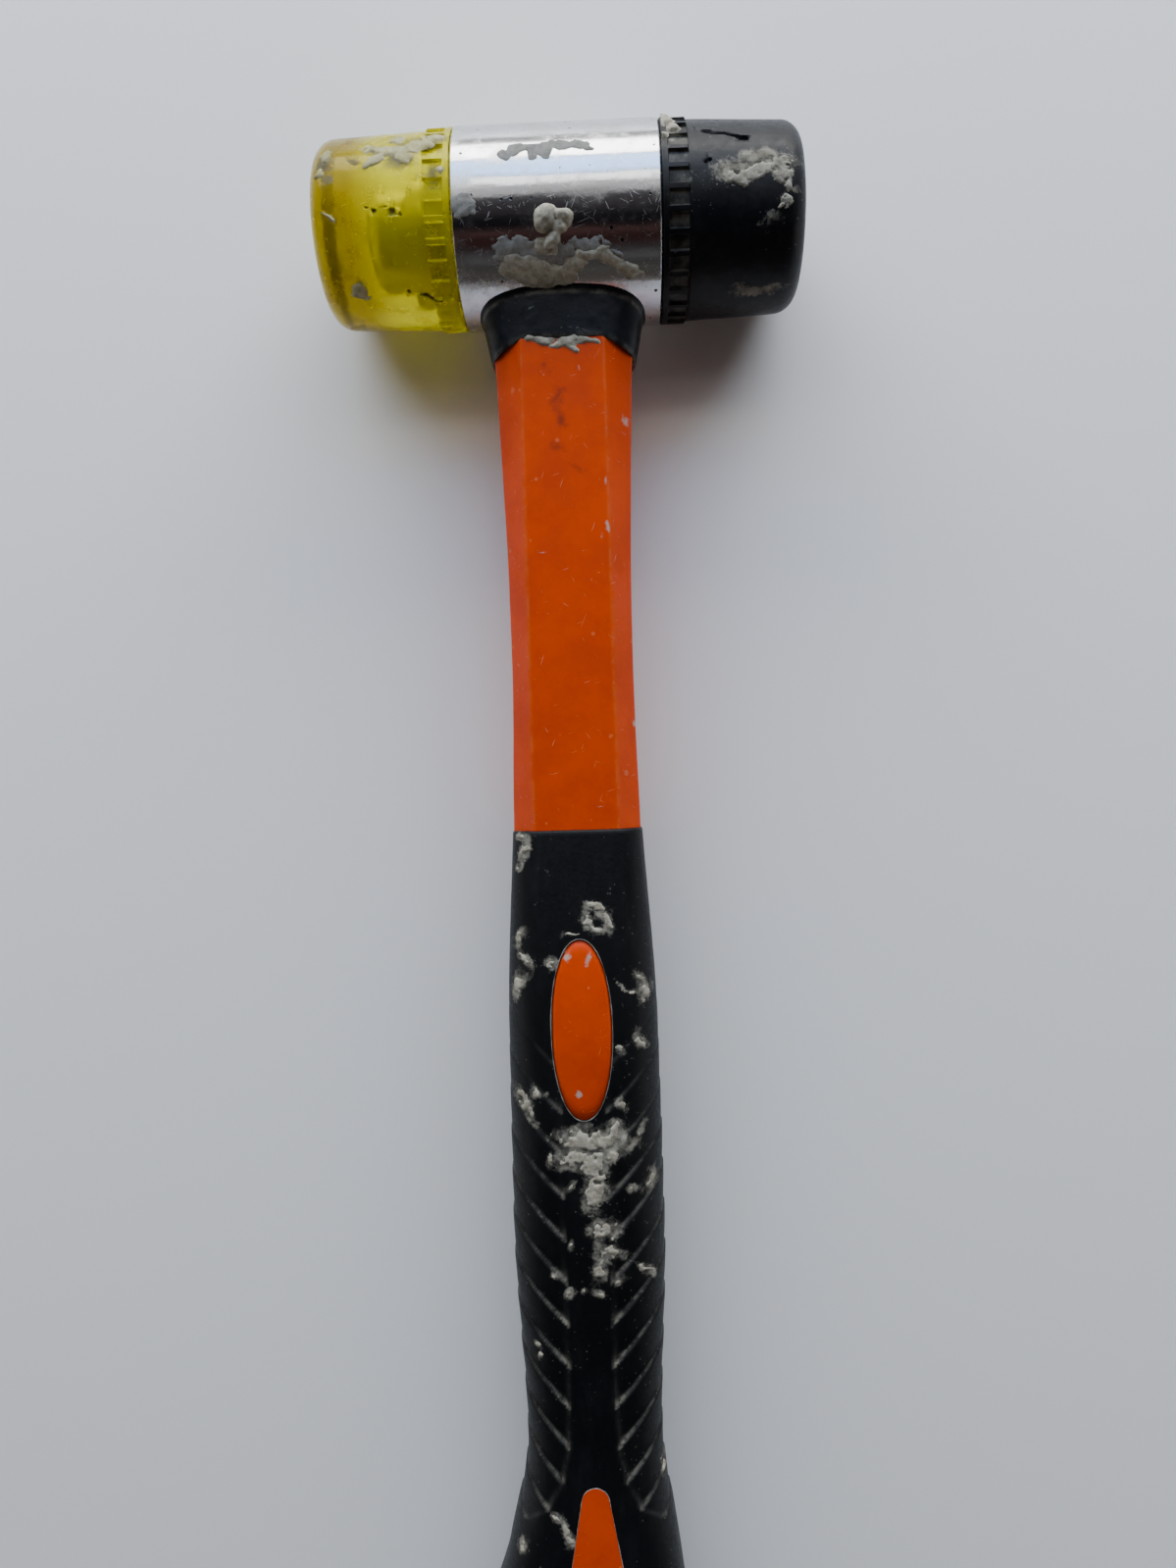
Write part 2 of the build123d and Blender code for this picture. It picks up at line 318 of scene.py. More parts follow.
def chrome_finish():
    """Bright plating: hazy where dust lies, pitted in small dark spots, and rippled very slightly."""
    made, tree, shader, where = new_material(
        "plated_steel", Base_Color=(0.70, 0.71, 0.73, 1), Metallic=1.0, Roughness=0.16
    )
    pits = place_group(tree, specks, Vector=where, Scale=1100.0, Share=0.05).outputs["Mask"]
    lines = place_group(tree, scratches, Vector=where, Share=0.55).outputs["Mask"]
    haze = remap(tree, noise(tree, where, 120.0, 6.0, 0.7), 0.42, 0.72)
    ripple = noise(tree, stretched(tree, where, (30, 160, 160)), 1.0, 3.0)
    rough = remap(tree, haze, 0.0, 1.0, 0.14, 0.33)
    rough = maths(tree, "MAXIMUM", rough, maths(tree, "MULTIPLY", lines, 0.42))
    tree.links.new(rough, shader.inputs["Roughness"])
    clean = mix_colour(tree, haze, (0.72, 0.73, 0.76, 1), (0.55, 0.54, 0.52, 1))
    marked = mix_colour(tree, pits, clean, (0.06, 0.055, 0.05, 1))
    tree.links.new(marked, shader.inputs["Base Color"])
    relief = maths(tree, "ADD", maths(tree, "MULTIPLY", ripple, 0.6), maths(tree, "MULTIPLY", pits, -0.12))
    relief = maths(tree, "ADD", relief, maths(tree, "MULTIPLY", noise(tree, where, 900.0, 3.0), 0.10))
    raise_relief(tree, shader, relief, 0.35, 0.0004)
    return made


def refinish(node, paint):
    """Gives a CAD piece a finish and leaves its shape alone."""
    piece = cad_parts[node]
    piece.data.materials.clear()
    piece.data.materials.append(paint)
    return piece


refinish("head_body", chrome_finish())

# ---- Studs ----
# Each end of the head carries a turned steel stud: a plain shoulder that backs the face, then a
# right-hand thread that the face screws onto. They show through the yellow face.
stud_low, stud_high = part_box("black_stud")
stud_tip = stud_high.x
shoulder_radius = (stud_high.y - stud_low.y) / 2
shoulder_end = head_half + 4.5 * mm
thread_radius = 7 * mm
thread_depth = 0.9 * mm
thread_pitch = 2 * mm


def skin(name, rings, start=None, end=None, loop=False, values=None, sharp=35):
    """Closed mesh over rings of points, each ring closed on itself and joined to the next.
    start and end are single points that close the two ends; with loop the last ring meets the first."""
    count, around, _ = rings.shape
    points = rings.reshape(-1, 3)
    row = np.arange(count if loop else count - 1)[:, None]
    column = np.arange(around)[None, :]
    following = (row + 1) % count
    beside = (column + 1) % around
    corners = [row * around + column, row * around + beside]
    corners += [following * around + beside, following * around + column]
    quads = np.stack(corners, -1).reshape(-1, 4)
    faces = quads.tolist()
    turn = np.arange(around)
    step = (turn + 1) % around
    if start is not None:
        faces += np.stack([step, turn, np.full(around, len(points))], -1).tolist()
        points = np.vstack([points, start])
    if end is not None:
        last = (count - 1) * around
        faces += np.stack([last + turn, last + step, np.full(around, len(points))], -1).tolist()
        points = np.vstack([points, end])
    a, b, c, d = (points[quads[:, k]] for k in range(4))
    volume = np.einsum("ij,ij->i", a, np.cross(b, c) + np.cross(c, d)).sum()
    if volume < 0:
        faces = [face[::-1] for face in faces]
    return add_mesh(name, points, faces, values, sharp)


def add_mesh(name, points, faces, values=None, sharp=35):
    """An object from points and faces, smooth except over sharp edges, with named point values. Points
    after the last value close the mesh's ends, and take the first value and the last."""
    mesh = bpy.data.meshes.new(name)
    mesh.from_pydata(points.tolist(), [], faces)
    mesh.shade_smooth()
    mesh.set_sharp_from_angle(angle=math.radians(sharp))
    for label, numbers in (values or {}).items():
        numbers = np.asarray(numbers, np.float32).ravel()
        filled = np.full(len(points), numbers[-1], np.float32)
        filled[: len(numbers)] = numbers
        filled[len(numbers) : len(numbers) + 1] = numbers[0]
        layer = mesh.attributes.new(label, "FLOAT", "POINT")
        layer.data.foreach_set("value", filled)
    piece = bpy.data.objects.new(name, mesh)
    bpy.context.scene.collection.objects.link(piece)
    return piece


def trace(*corners):
    """Points along straight runs: each corner is (distance along, radius, steps from the one before)."""
    out = [np.array([corners[0][:2]])]
    for (u0, r0, _), (u1, r1, steps) in zip(corners, corners[1:]):
        share = np.linspace(0, 1, steps + 1)[1:, None]
        out.append(np.array([[u0, r0]]) * (1 - share) + np.array([[u1, r1]]) * share)
    return np.vstack(out)


def about_head(u, radius, angle, way):
    """Points round the head's axis: u out from its middle, angle by the right hand about the way out."""
    u, radius, angle = np.broadcast_arrays(u, radius, angle)
    return np.stack(
        [way * u, head_y + radius * np.cos(angle), axis_z + way * radius * np.sin(angle)], -1
    )


def thread_wave(u, angle):
    """Thread ridge from 0 to 1: a rounded wave that moves out by one pitch in each turn."""
    phase = u / thread_pitch - angle / (2 * np.pi)
    return np.clip(0.5 + 0.85 * np.cos(2 * np.pi * phase), 0, 1)


def steel_finish():
    """Turned steel: fine rings round the axis, lightly oiled, with darker stains at random."""
    made, tree, shader, where = new_material(
        "turned_steel", Base_Color=(0.6, 0.58, 0.54, 1), Metallic=1.0, Roughness=0.5
    )
    rings = noise(tree, stretched(tree, where, (3500, 25, 25)), 1.0, 2.0)
    stain = remap(tree, noise(tree, where, 260.0, 5.0), 0.35, 0.75)
    tree.links.new(
        mix_colour(tree, stain, (0.66, 0.64, 0.60, 1), (0.44, 0.40, 0.34, 1)), shader.inputs["Base Color"]
    )
    tree.links.new(remap(tree, rings, 0.2, 0.8, 0.42, 0.6), shader.inputs["Roughness"])
    raise_relief(tree, shader, rings, 0.25, 0.0001)
    return made


turned_steel = steel_finish()


def turn_stud(name, way, node):
    """Stud as a turned outline, whose thread stretch is lowered by the wave between its ridges."""
    outline = trace(
        (head_half - 5.9 * mm, 5.9 * mm, 0),
        (head_half, 5.9 * mm, 4),
        (head_half, shoulder_radius, 4),
        (shoulder_end - 0.3 * mm, shoulder_radius, 4),
        (shoulder_end, shoulder_radius - 0.3 * mm, 1),
        (shoulder_end, thread_radius, 4),
        (stud_tip - 1.2 * mm, thread_radius, 76),
        (stud_tip, thread_radius - 1.2 * mm, 4),
        (stud_tip, 0.5 * mm, 3),
    )
    angle = np.linspace(0, 2 * np.pi, 96, endpoint=False)[None, :]
    u = outline[:, :1]
    radius = outline[:, 1:] + 0 * angle
    threaded = (u > shoulder_end + 0.2 * mm) & (radius > 3 * mm)
    root = thread_radius - thread_depth + thread_depth * thread_wave(u, angle)
    radius = np.where(threaded, np.minimum(radius, root), radius)
    ends = [about_head(outline[k, 0], 0, 0, way)[None, :] for k in (0, -1)]
    piece = skin(name, about_head(u, radius, angle, way), *ends)
    piece.data.materials.append(turned_steel)
    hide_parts(node)
    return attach(piece, "mallet")


turn_stud("black_stud_turned", 1, "black_stud")
turn_stud("yellow_stud_turned", -1, "yellow_stud")

# ---- Washers ----
# A flat steel ring lies on each stud's shoulder, under the face. The CAD pieces stay.
refinish("black_washer", turned_steel)
refinish("yellow_washer", turned_steel)

# ---- Faces ----
# Two moulded soft caps of one shape: a ribbed band for the fingers at the seam, a barrel that narrows
# a little, a rounded edge and a slightly crowned end. Inside, a plain counterbore clears the shoulder
# and a moulded thread takes the stud. One is clear yellow plastic, the other black rubber.
face_low, face_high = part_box("black_face")
face_seat = face_low.x
face_end = face_high.x
rim_radius = (face_high.y - face_low.y) / 2
field_radius = head_radius - 0.8 * mm
root_radius = head_radius - 0.6 * mm
tip_radius = head_radius - 1.3 * mm
rim_width = 1.1 * mm
band_width = 3.8 * mm
edge_radius = 4.0 * mm
end_crown = 0.45 * mm
rib_count = 30
bore_radius = shoulder_radius + 0.3 * mm
bore_floor = shoulder_end + 1.4 * mm
waist_radius = 9.3 * mm
waist_floor = face_seat + 9.0 * mm


def lumps(points, size, seed, octaves=3):
    """Soft random field from 0 to 1 at points in space: random values at the corners of a lattice of
    that size, blended between them, plus finer lattices, each of half the size and half the weight."""
    table = np.random.default_rng(seed).random(8192)
    total = np.zeros(points.shape[:-1])
    weight = 1.0
    for octave in range(octaves):
        place = points * (2**octave / size) + 17.3 * octave
        cell = np.floor(place).astype(np.int64)
        share = place - cell
        share = share * share * (3 - 2 * share)
        value = np.zeros(points.shape[:-1])
        for corner in range(8):
            step = np.array([corner & 1, corner >> 1 & 1, corner >> 2 & 1])
            key = (cell + step) @ np.array([73856093, 19349663, 83492791])
            near = np.where(step, share, 1 - share).prod(-1)
            value += near * table[key % 8192]
        total += weight * value
        weight /= 2
    return total / (2 - 2 ** (1 - octaves))


def rib_angles():
    """Angles round the band, close together at each rib's sides and wide apart between them."""
    pattern = np.array([-0.40, -0.28, -0.19, -0.15, -0.11, -0.06, 0.0, 0.06, 0.11, 0.15, 0.19, 0.28])
    return ((np.arange(rib_count)[:, None] + pattern[None, :]) / rib_count).ravel() * 2 * np.pi


def splash(across, along, spots, seed, ragged=0.5, grain=2.2):
    """How thickly plaster lies at places given in mm: the strongest of some oval spots, each full at
    its middle and nothing at its edge, made ragged by random lumps. Above 0 there is plaster."""
    place = np.stack([across, along, 0 * across], -1)
    warp = np.stack([lumps(place, 3.0, seed + 1, 2), lumps(place, 3.0, seed + 2, 2)], -1) - 0.5
    moved_across = across + 2.2 * warp[..., 0]
    moved_along = along + 2.2 * warp[..., 1]
    strongest = np.full(across.shape, -1.0)
    for centre_across, centre_along, half_across, half_along, turn, strength in spots:
        lean = math.radians(turn)
        right = moved_across - centre_across
        up = moved_along - centre_along
        one = (right * math.cos(lean) + up * math.sin(lean)) / half_across
        two = (up * math.cos(lean) - right * math.sin(lean)) / half_along
        strongest = np.maximum(strongest, strength - np.sqrt(one * one + two * two))
    return strongest + ragged * (lumps(place, grain, seed, 4) - 0.5) * 2 - 0.05


# Plaster on the two caps: (out from the seam, round from the top, half sizes, turn, strength), mm.
yellow_spots = [
    (5.5, 11.0, 5.0, 2.6, 10, 1.2),
    (9.5, 6.0, 3.2, 3.0, 0, 1.1),
    (12.5, 9.5, 3.0, 1.2, -20, 1.1),
    (3.2, 2.6, 2.4, 3.4, 0, 1.0),
    (17.5, 6.5, 2.6, 0.9, 25, 0.9),
    (23.0, 7.0, 1.6, 2.6, 0, 1.0),
    (22.5, 2.5, 1.2, 1.0, 0, 0.9),
    (22.3, -4.2, 1.8, 0.6, 35, 0.9),
    (17.8, -17.0, 1.6, 1.6, 0, 0.9),
]
black_spots = [
    (16.5, 1.6, 6.2, 1.7, 12, 1.2),
    (18.5, 3.6, 4.0, 1.5, -8, 1.1),
    (22.0, -1.0, 1.5, 1.6, 60, 1.0),
    (23.3, -3.8, 1.5, 0.9, 30, 1.0),
    (20.0, -8.5, 2.6, 1.6, 40, 0.7),
    (1.8, 11.5, 1.6, 3.6, 0, 1.0),
    (18.0, -22.5, 5.0, 1.5, 0, 0.8),
]
# Cuts in the caps: (out from the seam, round from the top, half length, turn, half width), mm.
yellow_cuts = [(11.0, -4.5, 3.4, 4, 0.2), (5.6, -20.6, 4.4, 22, 0.75), (12.6, -3.4, 3.4, 4, 0.3)]
black_cuts = [(11.2, 9.8, 6.2, -16, 0.5), (8.4, 3.0, 0.8, 40, 0.3)]


def cut_depth(out, round_, cuts, seed):
    """How deep a place lies in a cut, from 0 to 1: full on each cut's wavy line and tapering to its ends."""
    place = np.stack([out, round_, 0 * out], -1)
    wave = 0.9 * (lumps(place, 1.6, seed, 2) - 0.5)
    deepest = np.zeros(out.shape)
    for centre_out, centre_round, half_length, turn, half_width in cuts:
        lean = math.radians(turn)
        along = (out - centre_out) * math.cos(lean) + (round_ - centre_round) * math.sin(lean)
        off = (round_ - centre_round) * math.cos(lean) - (out - centre_out) * math.sin(lean) + wave
        taper = np.clip(1 - (along / half_length) ** 2, 0, 1)
        depth = np.clip(1 - np.abs(off) / (half_width * np.sqrt(taper) + 0.02), 0, 1)
        deepest = np.maximum(deepest, depth * (taper > 0))
    return deepest


def mould_cap(name, way, node, body, slot, paint, spots, smear, cuts, seed):
    """Cap as a turned outline from the middle of its end, round the outside, through the seam and into
    the plain socket. Ribs rise from the band, and wear dents the outside."""
    bend = np.linspace(np.pi / 2, 0, 12)
    crown = np.linspace(0.5 * mm, tip_radius - edge_radius, 26)
    crowned = np.stack([face_end - end_crown * (crown / tip_radius) ** 2, crown], -1)
    drop = end_crown * ((tip_radius - edge_radius) / tip_radius) ** 2
    edge = np.stack(
        [
            face_end - drop - edge_radius + edge_radius * np.sin(bend),
            tip_radius - edge_radius + edge_radius * np.cos(bend),
        ],
        -1,
    )[1:]
    band_start = face_seat + rim_width
    band_end = band_start + band_width
    outside = trace(
        (edge[-1, 0], edge[-1, 1], 0),
        (band_end + 0.25 * mm, root_radius, 44),
        (band_end + 0.05 * mm, root_radius - 0.08 * mm, 1),
        (band_end - 0.15 * mm, field_radius, 1),
        (band_start + 0.18 * mm, field_radius, 10),
        (band_start, rim_radius - 0.04 * mm, 2),
        (band_start - 0.12 * mm, rim_radius, 1),
        (face_seat + 0.15 * mm, rim_radius, 3),
        (face_seat, rim_radius - 0.15 * mm, 1),
    )[1:]
    inside = trace(
        (face_seat, rim_radius - 0.15 * mm, 0),
        (face_seat, bore_radius + 0.3 * mm, 8),
        (face_seat + 0.3 * mm, bore_radius, 1),
        (bore_floor, bore_radius, 5),
        (bore_floor, waist_radius, 2),
        (waist_floor, waist_radius, 5),
        (waist_floor + 0.3 * mm, thread_radius + 0.1 * mm, 2),
        (stud_tip - 1.2 * mm, thread_radius + 0.1 * mm, 8),
    )[1:]
    dome = np.linspace(0, np.pi / 2, 16)[1:-1]
    domed = np.stack(
        [stud_tip - 1.2 * mm + 3.4 * mm * np.sin(dome), (thread_radius + 0.1 * mm) * np.cos(dome)], -1
    )
    inside = np.vstack([inside, domed])
    outline = np.vstack([crowned, edge, outside, inside])
    outer = np.arange(len(outline))[:, None] < len(crowned) + len(edge) + len(outside)
    angle = rib_angles()[None, :]
    u = outline[:, :1]
    radius = outline[:, 1:] + 0 * angle
    place = np.abs(angle * rib_count / (2 * np.pi) - np.round(angle * rib_count / (2 * np.pi)))
    rib = np.clip((0.165 - place) / 0.045, 0, 1)
    in_band = (u > band_start - 0.05 * mm) & (u < band_end + 0.02 * mm) & outer
    radius = np.where(in_band, radius + rib * np.maximum(rim_radius - 0.06 * mm - radius, 0), radius)
    points = about_head(u, radius, angle, way)
    out = (u - face_seat) / mm + 0 * angle
    top = np.arctan2(points[..., 1] - head_y, points[..., 2] - axis_z)
    round_ = top * head_radius / mm
    barrel = outer & (u > band_end)
    wear = lumps(points, 7 * mm, seed, 3) - 0.5
    cut = cut_depth(out, round_, cuts, seed + 5) * outer
    dent = (0.28 * mm * wear) * barrel - 0.7 * mm * cut
    points = about_head(u, radius + dent * (radius > 2 * mm), angle, way)
    plaster = np.where(outer, splash(out, round_, spots, seed + 20) + smear, -1.0)
    hollow = (radius < rim_radius - 0.3 * mm) & in_band
    ends = [about_head(reach, 0, 0, way)[None, :] for reach in (outline[0, 0], stud_tip + 2.2 * mm)]
    solid = np.clip((out - 14) / 5, 0, 1)
    values = {"plaster": plaster, "cut": cut, "hollow": hollow & outer, "solid": solid}
    piece = skin(name, points, *ends, values=values)
    piece.data.materials.append(paint)
    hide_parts(node)
    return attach(piece, body)


def build_plaster_film():
    """A thin smear of dried plaster: the mesh's own plaster value made ragged by fine noise. Gives where
    it lies, its warm grey colour and its height."""
    group, entry, leave = new_group(
        "plaster_film",
        [
            ("Vector", "NodeSocketVector", None),
            ("Amount", "NodeSocketFloat", 0.0),
            ("Edge", "NodeSocketFloat", 0.25),
        ],
        [("Mask", "NodeSocketFloat"), ("Colour", "NodeSocketColor"), ("Height", "NodeSocketFloat")],
    )
    where = entry.outputs["Vector"]
    fine = noise(group, where, 1500.0, 6.0, 0.7)
    broad = noise(group, where, 420.0, 5.0, 0.7)
    both = maths(group, "ADD", maths(group, "MULTIPLY", fine, 0.5), maths(group, "MULTIPLY", broad, 0.5))
    ragged = maths(group, "MULTIPLY", maths(group, "SUBTRACT", both, 0.52), 4.2)
    field = maths(group, "ADD", entry.outputs["Amount"], ragged)
    cover = add_node(
        group,
        "ShaderNodeMapRange",
        {"Value": field, "From Min": -0.05, "From Max": entry.outputs["Edge"]},
        interpolation_type="SMOOTHSTEP",
    ).outputs["Result"]
    mask = maths(group, "MULTIPLY", cover, remap(group, entry.outputs["Amount"], 0.0, 0.8, 0.4, 1.0))
    tint = remap(group, noise(group, where, 420.0, 5.0), 0.3, 0.7)
    group.links.new(mask, leave.inputs["Mask"])
    group.links.new(
        mix_colour(group, tint, (0.16, 0.15, 0.12, 1), (0.34, 0.325, 0.27, 1)), leave.inputs["Colour"]
    )
    group.links.new(maths(group, "MULTIPLY", mask, fine), leave.inputs["Height"])
    return group


plaster_film = build_plaster_film()


def attribute(tree, name):
    """The grey output of one of the mesh's own point values."""
    return add_node(tree, "ShaderNodeAttribute", attribute_name=name).outputs["Fac"]


def yellow_finish():
    """Clear yellow plastic, scuffed to a haze, amber where thick, with plaster smears and dark cuts."""
    made, tree, shader, where = new_material(
        "clear_yellow_plastic",
        Base_Color=(0.86, 0.70, 0.01, 1),
        Roughness=0.2,
        IOR=1.49,
        Specular_IOR_Level=0.12,
        Specular_Tint=(0.42, 0.36, 0.05, 1),
        Transmission_Weight=0.66,
    )
    film = place_group(tree, plaster_film, Vector=where, Amount=attribute(tree, "plaster"), Edge=0.35)
    lines = place_group(tree, scratches, Vector=where, Share=0.25).outputs["Mask"]
    haze = remap(tree, noise(tree, where, 160.0, 5.0), 0.4, 0.75)
    bright = mix_colour(tree, haze, (0.93, 0.86, 0.0, 1), (0.76, 0.67, 0.0, 1))
    deep = mix_colour(tree, haze, (0.47, 0.34, 0.0, 1), (0.37, 0.25, 0.0, 1))
    amber = mix_colour(tree, attribute(tree, "solid"), bright, deep)
    dirty = mix_colour(tree, film.outputs["Mask"], amber, film.outputs["Colour"])
    dark = remap(tree, attribute(tree, "cut"), 0.15, 0.7)
    tree.links.new(mix_colour(tree, dark, dirty, (0.02, 0.015, 0.005, 1)), shader.inputs["Base Color"])
    scratched = maths(tree, "MULTIPLY", lines, 0.5)
    rough = maths(tree, "MAXIMUM", remap(tree, haze, 0.0, 1.0, 0.16, 0.34), scratched)
    rough = maths(tree, "MAXIMUM", rough, maths(tree, "MULTIPLY", film.outputs["Mask"], 0.9))
    tree.links.new(rough, shader.inputs["Roughness"])
    relief = maths(tree, "ADD", film.outputs["Height"], maths(tree, "MULTIPLY", lines, -0.3))
    relief = maths(tree, "ADD", relief, maths(tree, "MULTIPLY", noise(tree, where, 330.0, 4.0), 0.5))
    raise_relief(tree, shader, relief, 0.4, 0.0003)
    return made


def rubber_finish(name, colour, wear_and_highlight, roughness, grain_scale, relief_depth, dust):
    """Moulded black rubber: greyed by wear, dusty in its hollows, with smears of plaster."""
    made, tree, shader, where = new_material(
        name, Base_Color=colour, Roughness=roughness, Specular_IOR_Level=0.2
    )
    film = place_group(tree, plaster_film, Vector=where, Amount=attribute(tree, "plaster"), Edge=0.5)
    grain = noise(tree, where, grain_scale, 4.0, 0.65)
    rubbed = remap(tree, noise(tree, stretched(tree, where, (240, 60, 240)), 1.0, 6.0, 0.7), 0.45, 0.85)
    strewn = remap(tree, noise(tree, where, 45.0, 3.0), 0.4, 0.65, 0.01, 0.13)
    settled = place_group(tree, specks, Vector=where, Scale=2300.0, Share=strewn).outputs["Mask"]
    patchy = remap(tree, noise(tree, where, 500.0, 4.0), 0.35, 0.65, 0.15, 1.0)
    dusty = maths(tree, "MULTIPLY", attribute(tree, "hollow"), patchy)
    tone = mix_colour(tree, rubbed, colour, wear_and_highlight)
    tone = mix_colour(tree, maths(tree, "MULTIPLY", settled, 0.28), tone, (0.22, 0.21, 0.19, 1))
    tone = mix_colour(tree, maths(tree, "MULTIPLY", dusty, dust), tone, (0.21, 0.20, 0.165, 1))
    thin = remap(tree, noise(tree, where, 520.0, 4.0, 0.6), 0.36, 0.62, 0.22, 0.95)
    smear = maths(tree, "MULTIPLY", film.outputs["Mask"], thin)
    tone = mix_colour(tree, smear, tone, film.outputs["Colour"])
    tree.links.new(tone, shader.inputs["Base Color"])
    rough = maths(tree, "ADD", remap(tree, grain, 0.2, 0.8, -0.08, 0.1), roughness)
    rough = maths(tree, "MAXIMUM", rough, maths(tree, "MULTIPLY", film.outputs["Mask"], 0.92))
    tree.links.new(rough, shader.inputs["Roughness"])
    relief = maths(tree, "ADD", maths(tree, "MULTIPLY", grain, 0.35), film.outputs["Height"])
    raise_relief(tree, shader, relief, 0.5, relief_depth)
    return made


clear_yellow = yellow_finish()
black_rubber = rubber_finish(
    "black_rubber", (0.004, 0.0045, 0.006, 1), (0.014, 0.015, 0.018, 1), 0.40, 900.0, 0.0002, 0.3
)
yellow_marks = (yellow_spots, 0.1, yellow_cuts, 11)
black_marks = (black_spots, 0.45, black_cuts, 23)
mould_cap("yellow_cap", -1, "yellow_face", "yellow_face", "clear_yellow_plastic", clear_yellow, *yellow_marks)
mould_cap("black_cap", 1, "black_face", "black_face", "black_rubber", black_rubber, *black_marks)

# ---- Rod and filler ----
# A glass-fibre rod runs from the head's eye down into the butt, and cast epoxy locks it in the eye.
# Only their ends show, at the far side of the head. The CAD pieces stay.


def fibre_finish(name, colour, deep, roughness, stretch):
    """Cast resin or pulled glass fibre: a mottled or streaked colour with a faint grain."""
    made, tree, shader, where = new_material(name, Base_Color=colour, Roughness=roughness)
    grain = noise(tree, stretched(tree, where, stretch), 1.0, 5.0)
    tree.links.new(
        mix_colour(tree, remap(tree, grain, 0.3, 0.7), colour, deep), shader.inputs["Base Color"]
    )
    raise_relief(tree, shader, grain, 0.3, 0.0003)
    return made


glass_fibre = fibre_finish("glass_fibre", (0.62, 0.56, 0.36, 1), (0.42, 0.36, 0.2, 1), 0.5, (1800, 60, 1800))
epoxy = fibre_finish("epoxy", (0.05, 0.045, 0.035, 1), (0.015, 0.013, 0.01, 1), 0.25, (250, 250, 250))
refinish("handle_rod", glass_fibre)
refinish("eye_filler", epoxy)

# ---- Jacket ----
# Orange plastic moulded on the rod: the eight-sided shank, the tang inside the grip, and the raised
# pads that show through the grip as an oval on each side and as a tongue round the butt.
rod_low, rod_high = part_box("handle_rod")
neck_y = head_y - head_radius
shank_top = neck_y - 0.5 * mm
grip_y = grip_high.y
rod_half_width = (rod_high.x - rod_low.x) / 2
rod_half_thickness = (rod_high.z - rod_low.z) / 2
shoulder_y = neck_y - 13.5 * mm
shank_half_widths = np.array([12.4, 11.8, 13.2, 14.0]) * mm  # at the grip, waist, shoulder and top
shank_half_thickness = 8.75 * mm
shank_half_flat = 8.0 * mm
shank_half_side = 4.0 * mm
bevel_rounding = 1.1 * mm
tang_end = butt_y + 8 * mm
tang_half_width = 10 * mm
tang_half_thickness = 7.25 * mm
window_y = butt_y + 132.8 * mm
window_half_length = 17.0 * mm
window_half_width = 5.75 * mm
tongue_apex = butt_y + 46.2 * mm
tongue_tip_radius = 2.6 * mm
tongue_radius = 8.0 * mm
hole_y = butt_y + 13 * mm
hole_radius = 3.5 * mm
cutter_reach = 25 * mm


def smooth_through(at, places, values):
    """Values carried smoothly through given places, without overshooting any of them: cubic between
    neighbours, with each slope the harmonic mean of the slopes beside it."""
    places = np.asarray(places, float)
    values = np.asarray(values, float)
    rise = np.diff(values) / np.diff(places)
    slope = np.concatenate([rise[:1], np.zeros(len(values) - 2), rise[-1:]])
    before, after = rise[:-1], rise[1:]
    same = before * after > 0
    slope[1:-1][same] = 2 * before[same] * after[same] / (before[same] + after[same])
    at = np.clip(at, places[0], places[-1])
    left = np.clip(np.searchsorted(places, at, side="right") - 1, 0, len(places) - 2)
    wide = places[left + 1] - places[left]
    share = (at - places[left]) / wide
    bend = 3 * share**2 - 2 * share**3
    lean_in = share**3 - 2 * share**2 + share
    lean_out = share**3 - share**2
    straight = values[left] * (1 - bend) + values[left + 1] * bend
    return straight + wide * (slope[left] * lean_in + slope[left + 1] * lean_out)


def rounded_corners(corners, radius, arc_steps, side_step):
    """Outline through convex corners given in order, each rounded by an arc of that radius. Sides are
    divided into the given numbers of steps, so that outlines of one kind have equal counts."""
    count = len(corners)
    out = []
    arcs = []
    for k in range(count):
        here = corners[k]
        back = corners[k - 1] - here
        ahead = corners[(k + 1) % count] - here
        back_way = back / np.linalg.norm(back)
        ahead_way = ahead / np.linalg.norm(ahead)
        half = np.arccos(np.clip(back_way @ ahead_way, -1, 1)) / 2
        middle = (back_way + ahead_way) / np.linalg.norm(back_way + ahead_way)
        centre = here + middle * radius / np.sin(half)
        start = here + back_way * radius / np.tan(half) - centre
        finish = here + ahead_way * radius / np.tan(half) - centre
        first = np.arctan2(start[1], start[0])
        sweep = (np.arctan2(finish[1], finish[0]) - first + np.pi) % (2 * np.pi) - np.pi
        bend = first + sweep * np.linspace(0, 1, arc_steps + 1)
        arcs.append(centre + radius * np.stack([np.cos(bend), np.sin(bend)], -1))
    for k in range(count):
        out.append(arcs[k])
        following = arcs[(k + 1) % count][0]
        share = np.linspace(0, 1, side_step[k % len(side_step)] + 2)[1:-1, None]
        out.append(arcs[k][-1] * (1 - share) + following * share)
    return np.vstack(out)


def eight_sided(half_width, half_thickness, half_flat, half_side, radius):
    """Outline of the flattened bar, from its front's left corner over the front to the right."""
    right = [(half_flat, half_thickness), (half_width, half_side)]
    right += [(x, -z) for x, z in reversed(right)]
    corners = np.array([(-half_flat, half_thickness)] + right + [(-x, z) for x, z in reversed(right[1:])])
    return rounded_corners(corners, radius, 5, (26, 5, 8, 5, 26, 5, 8, 5))


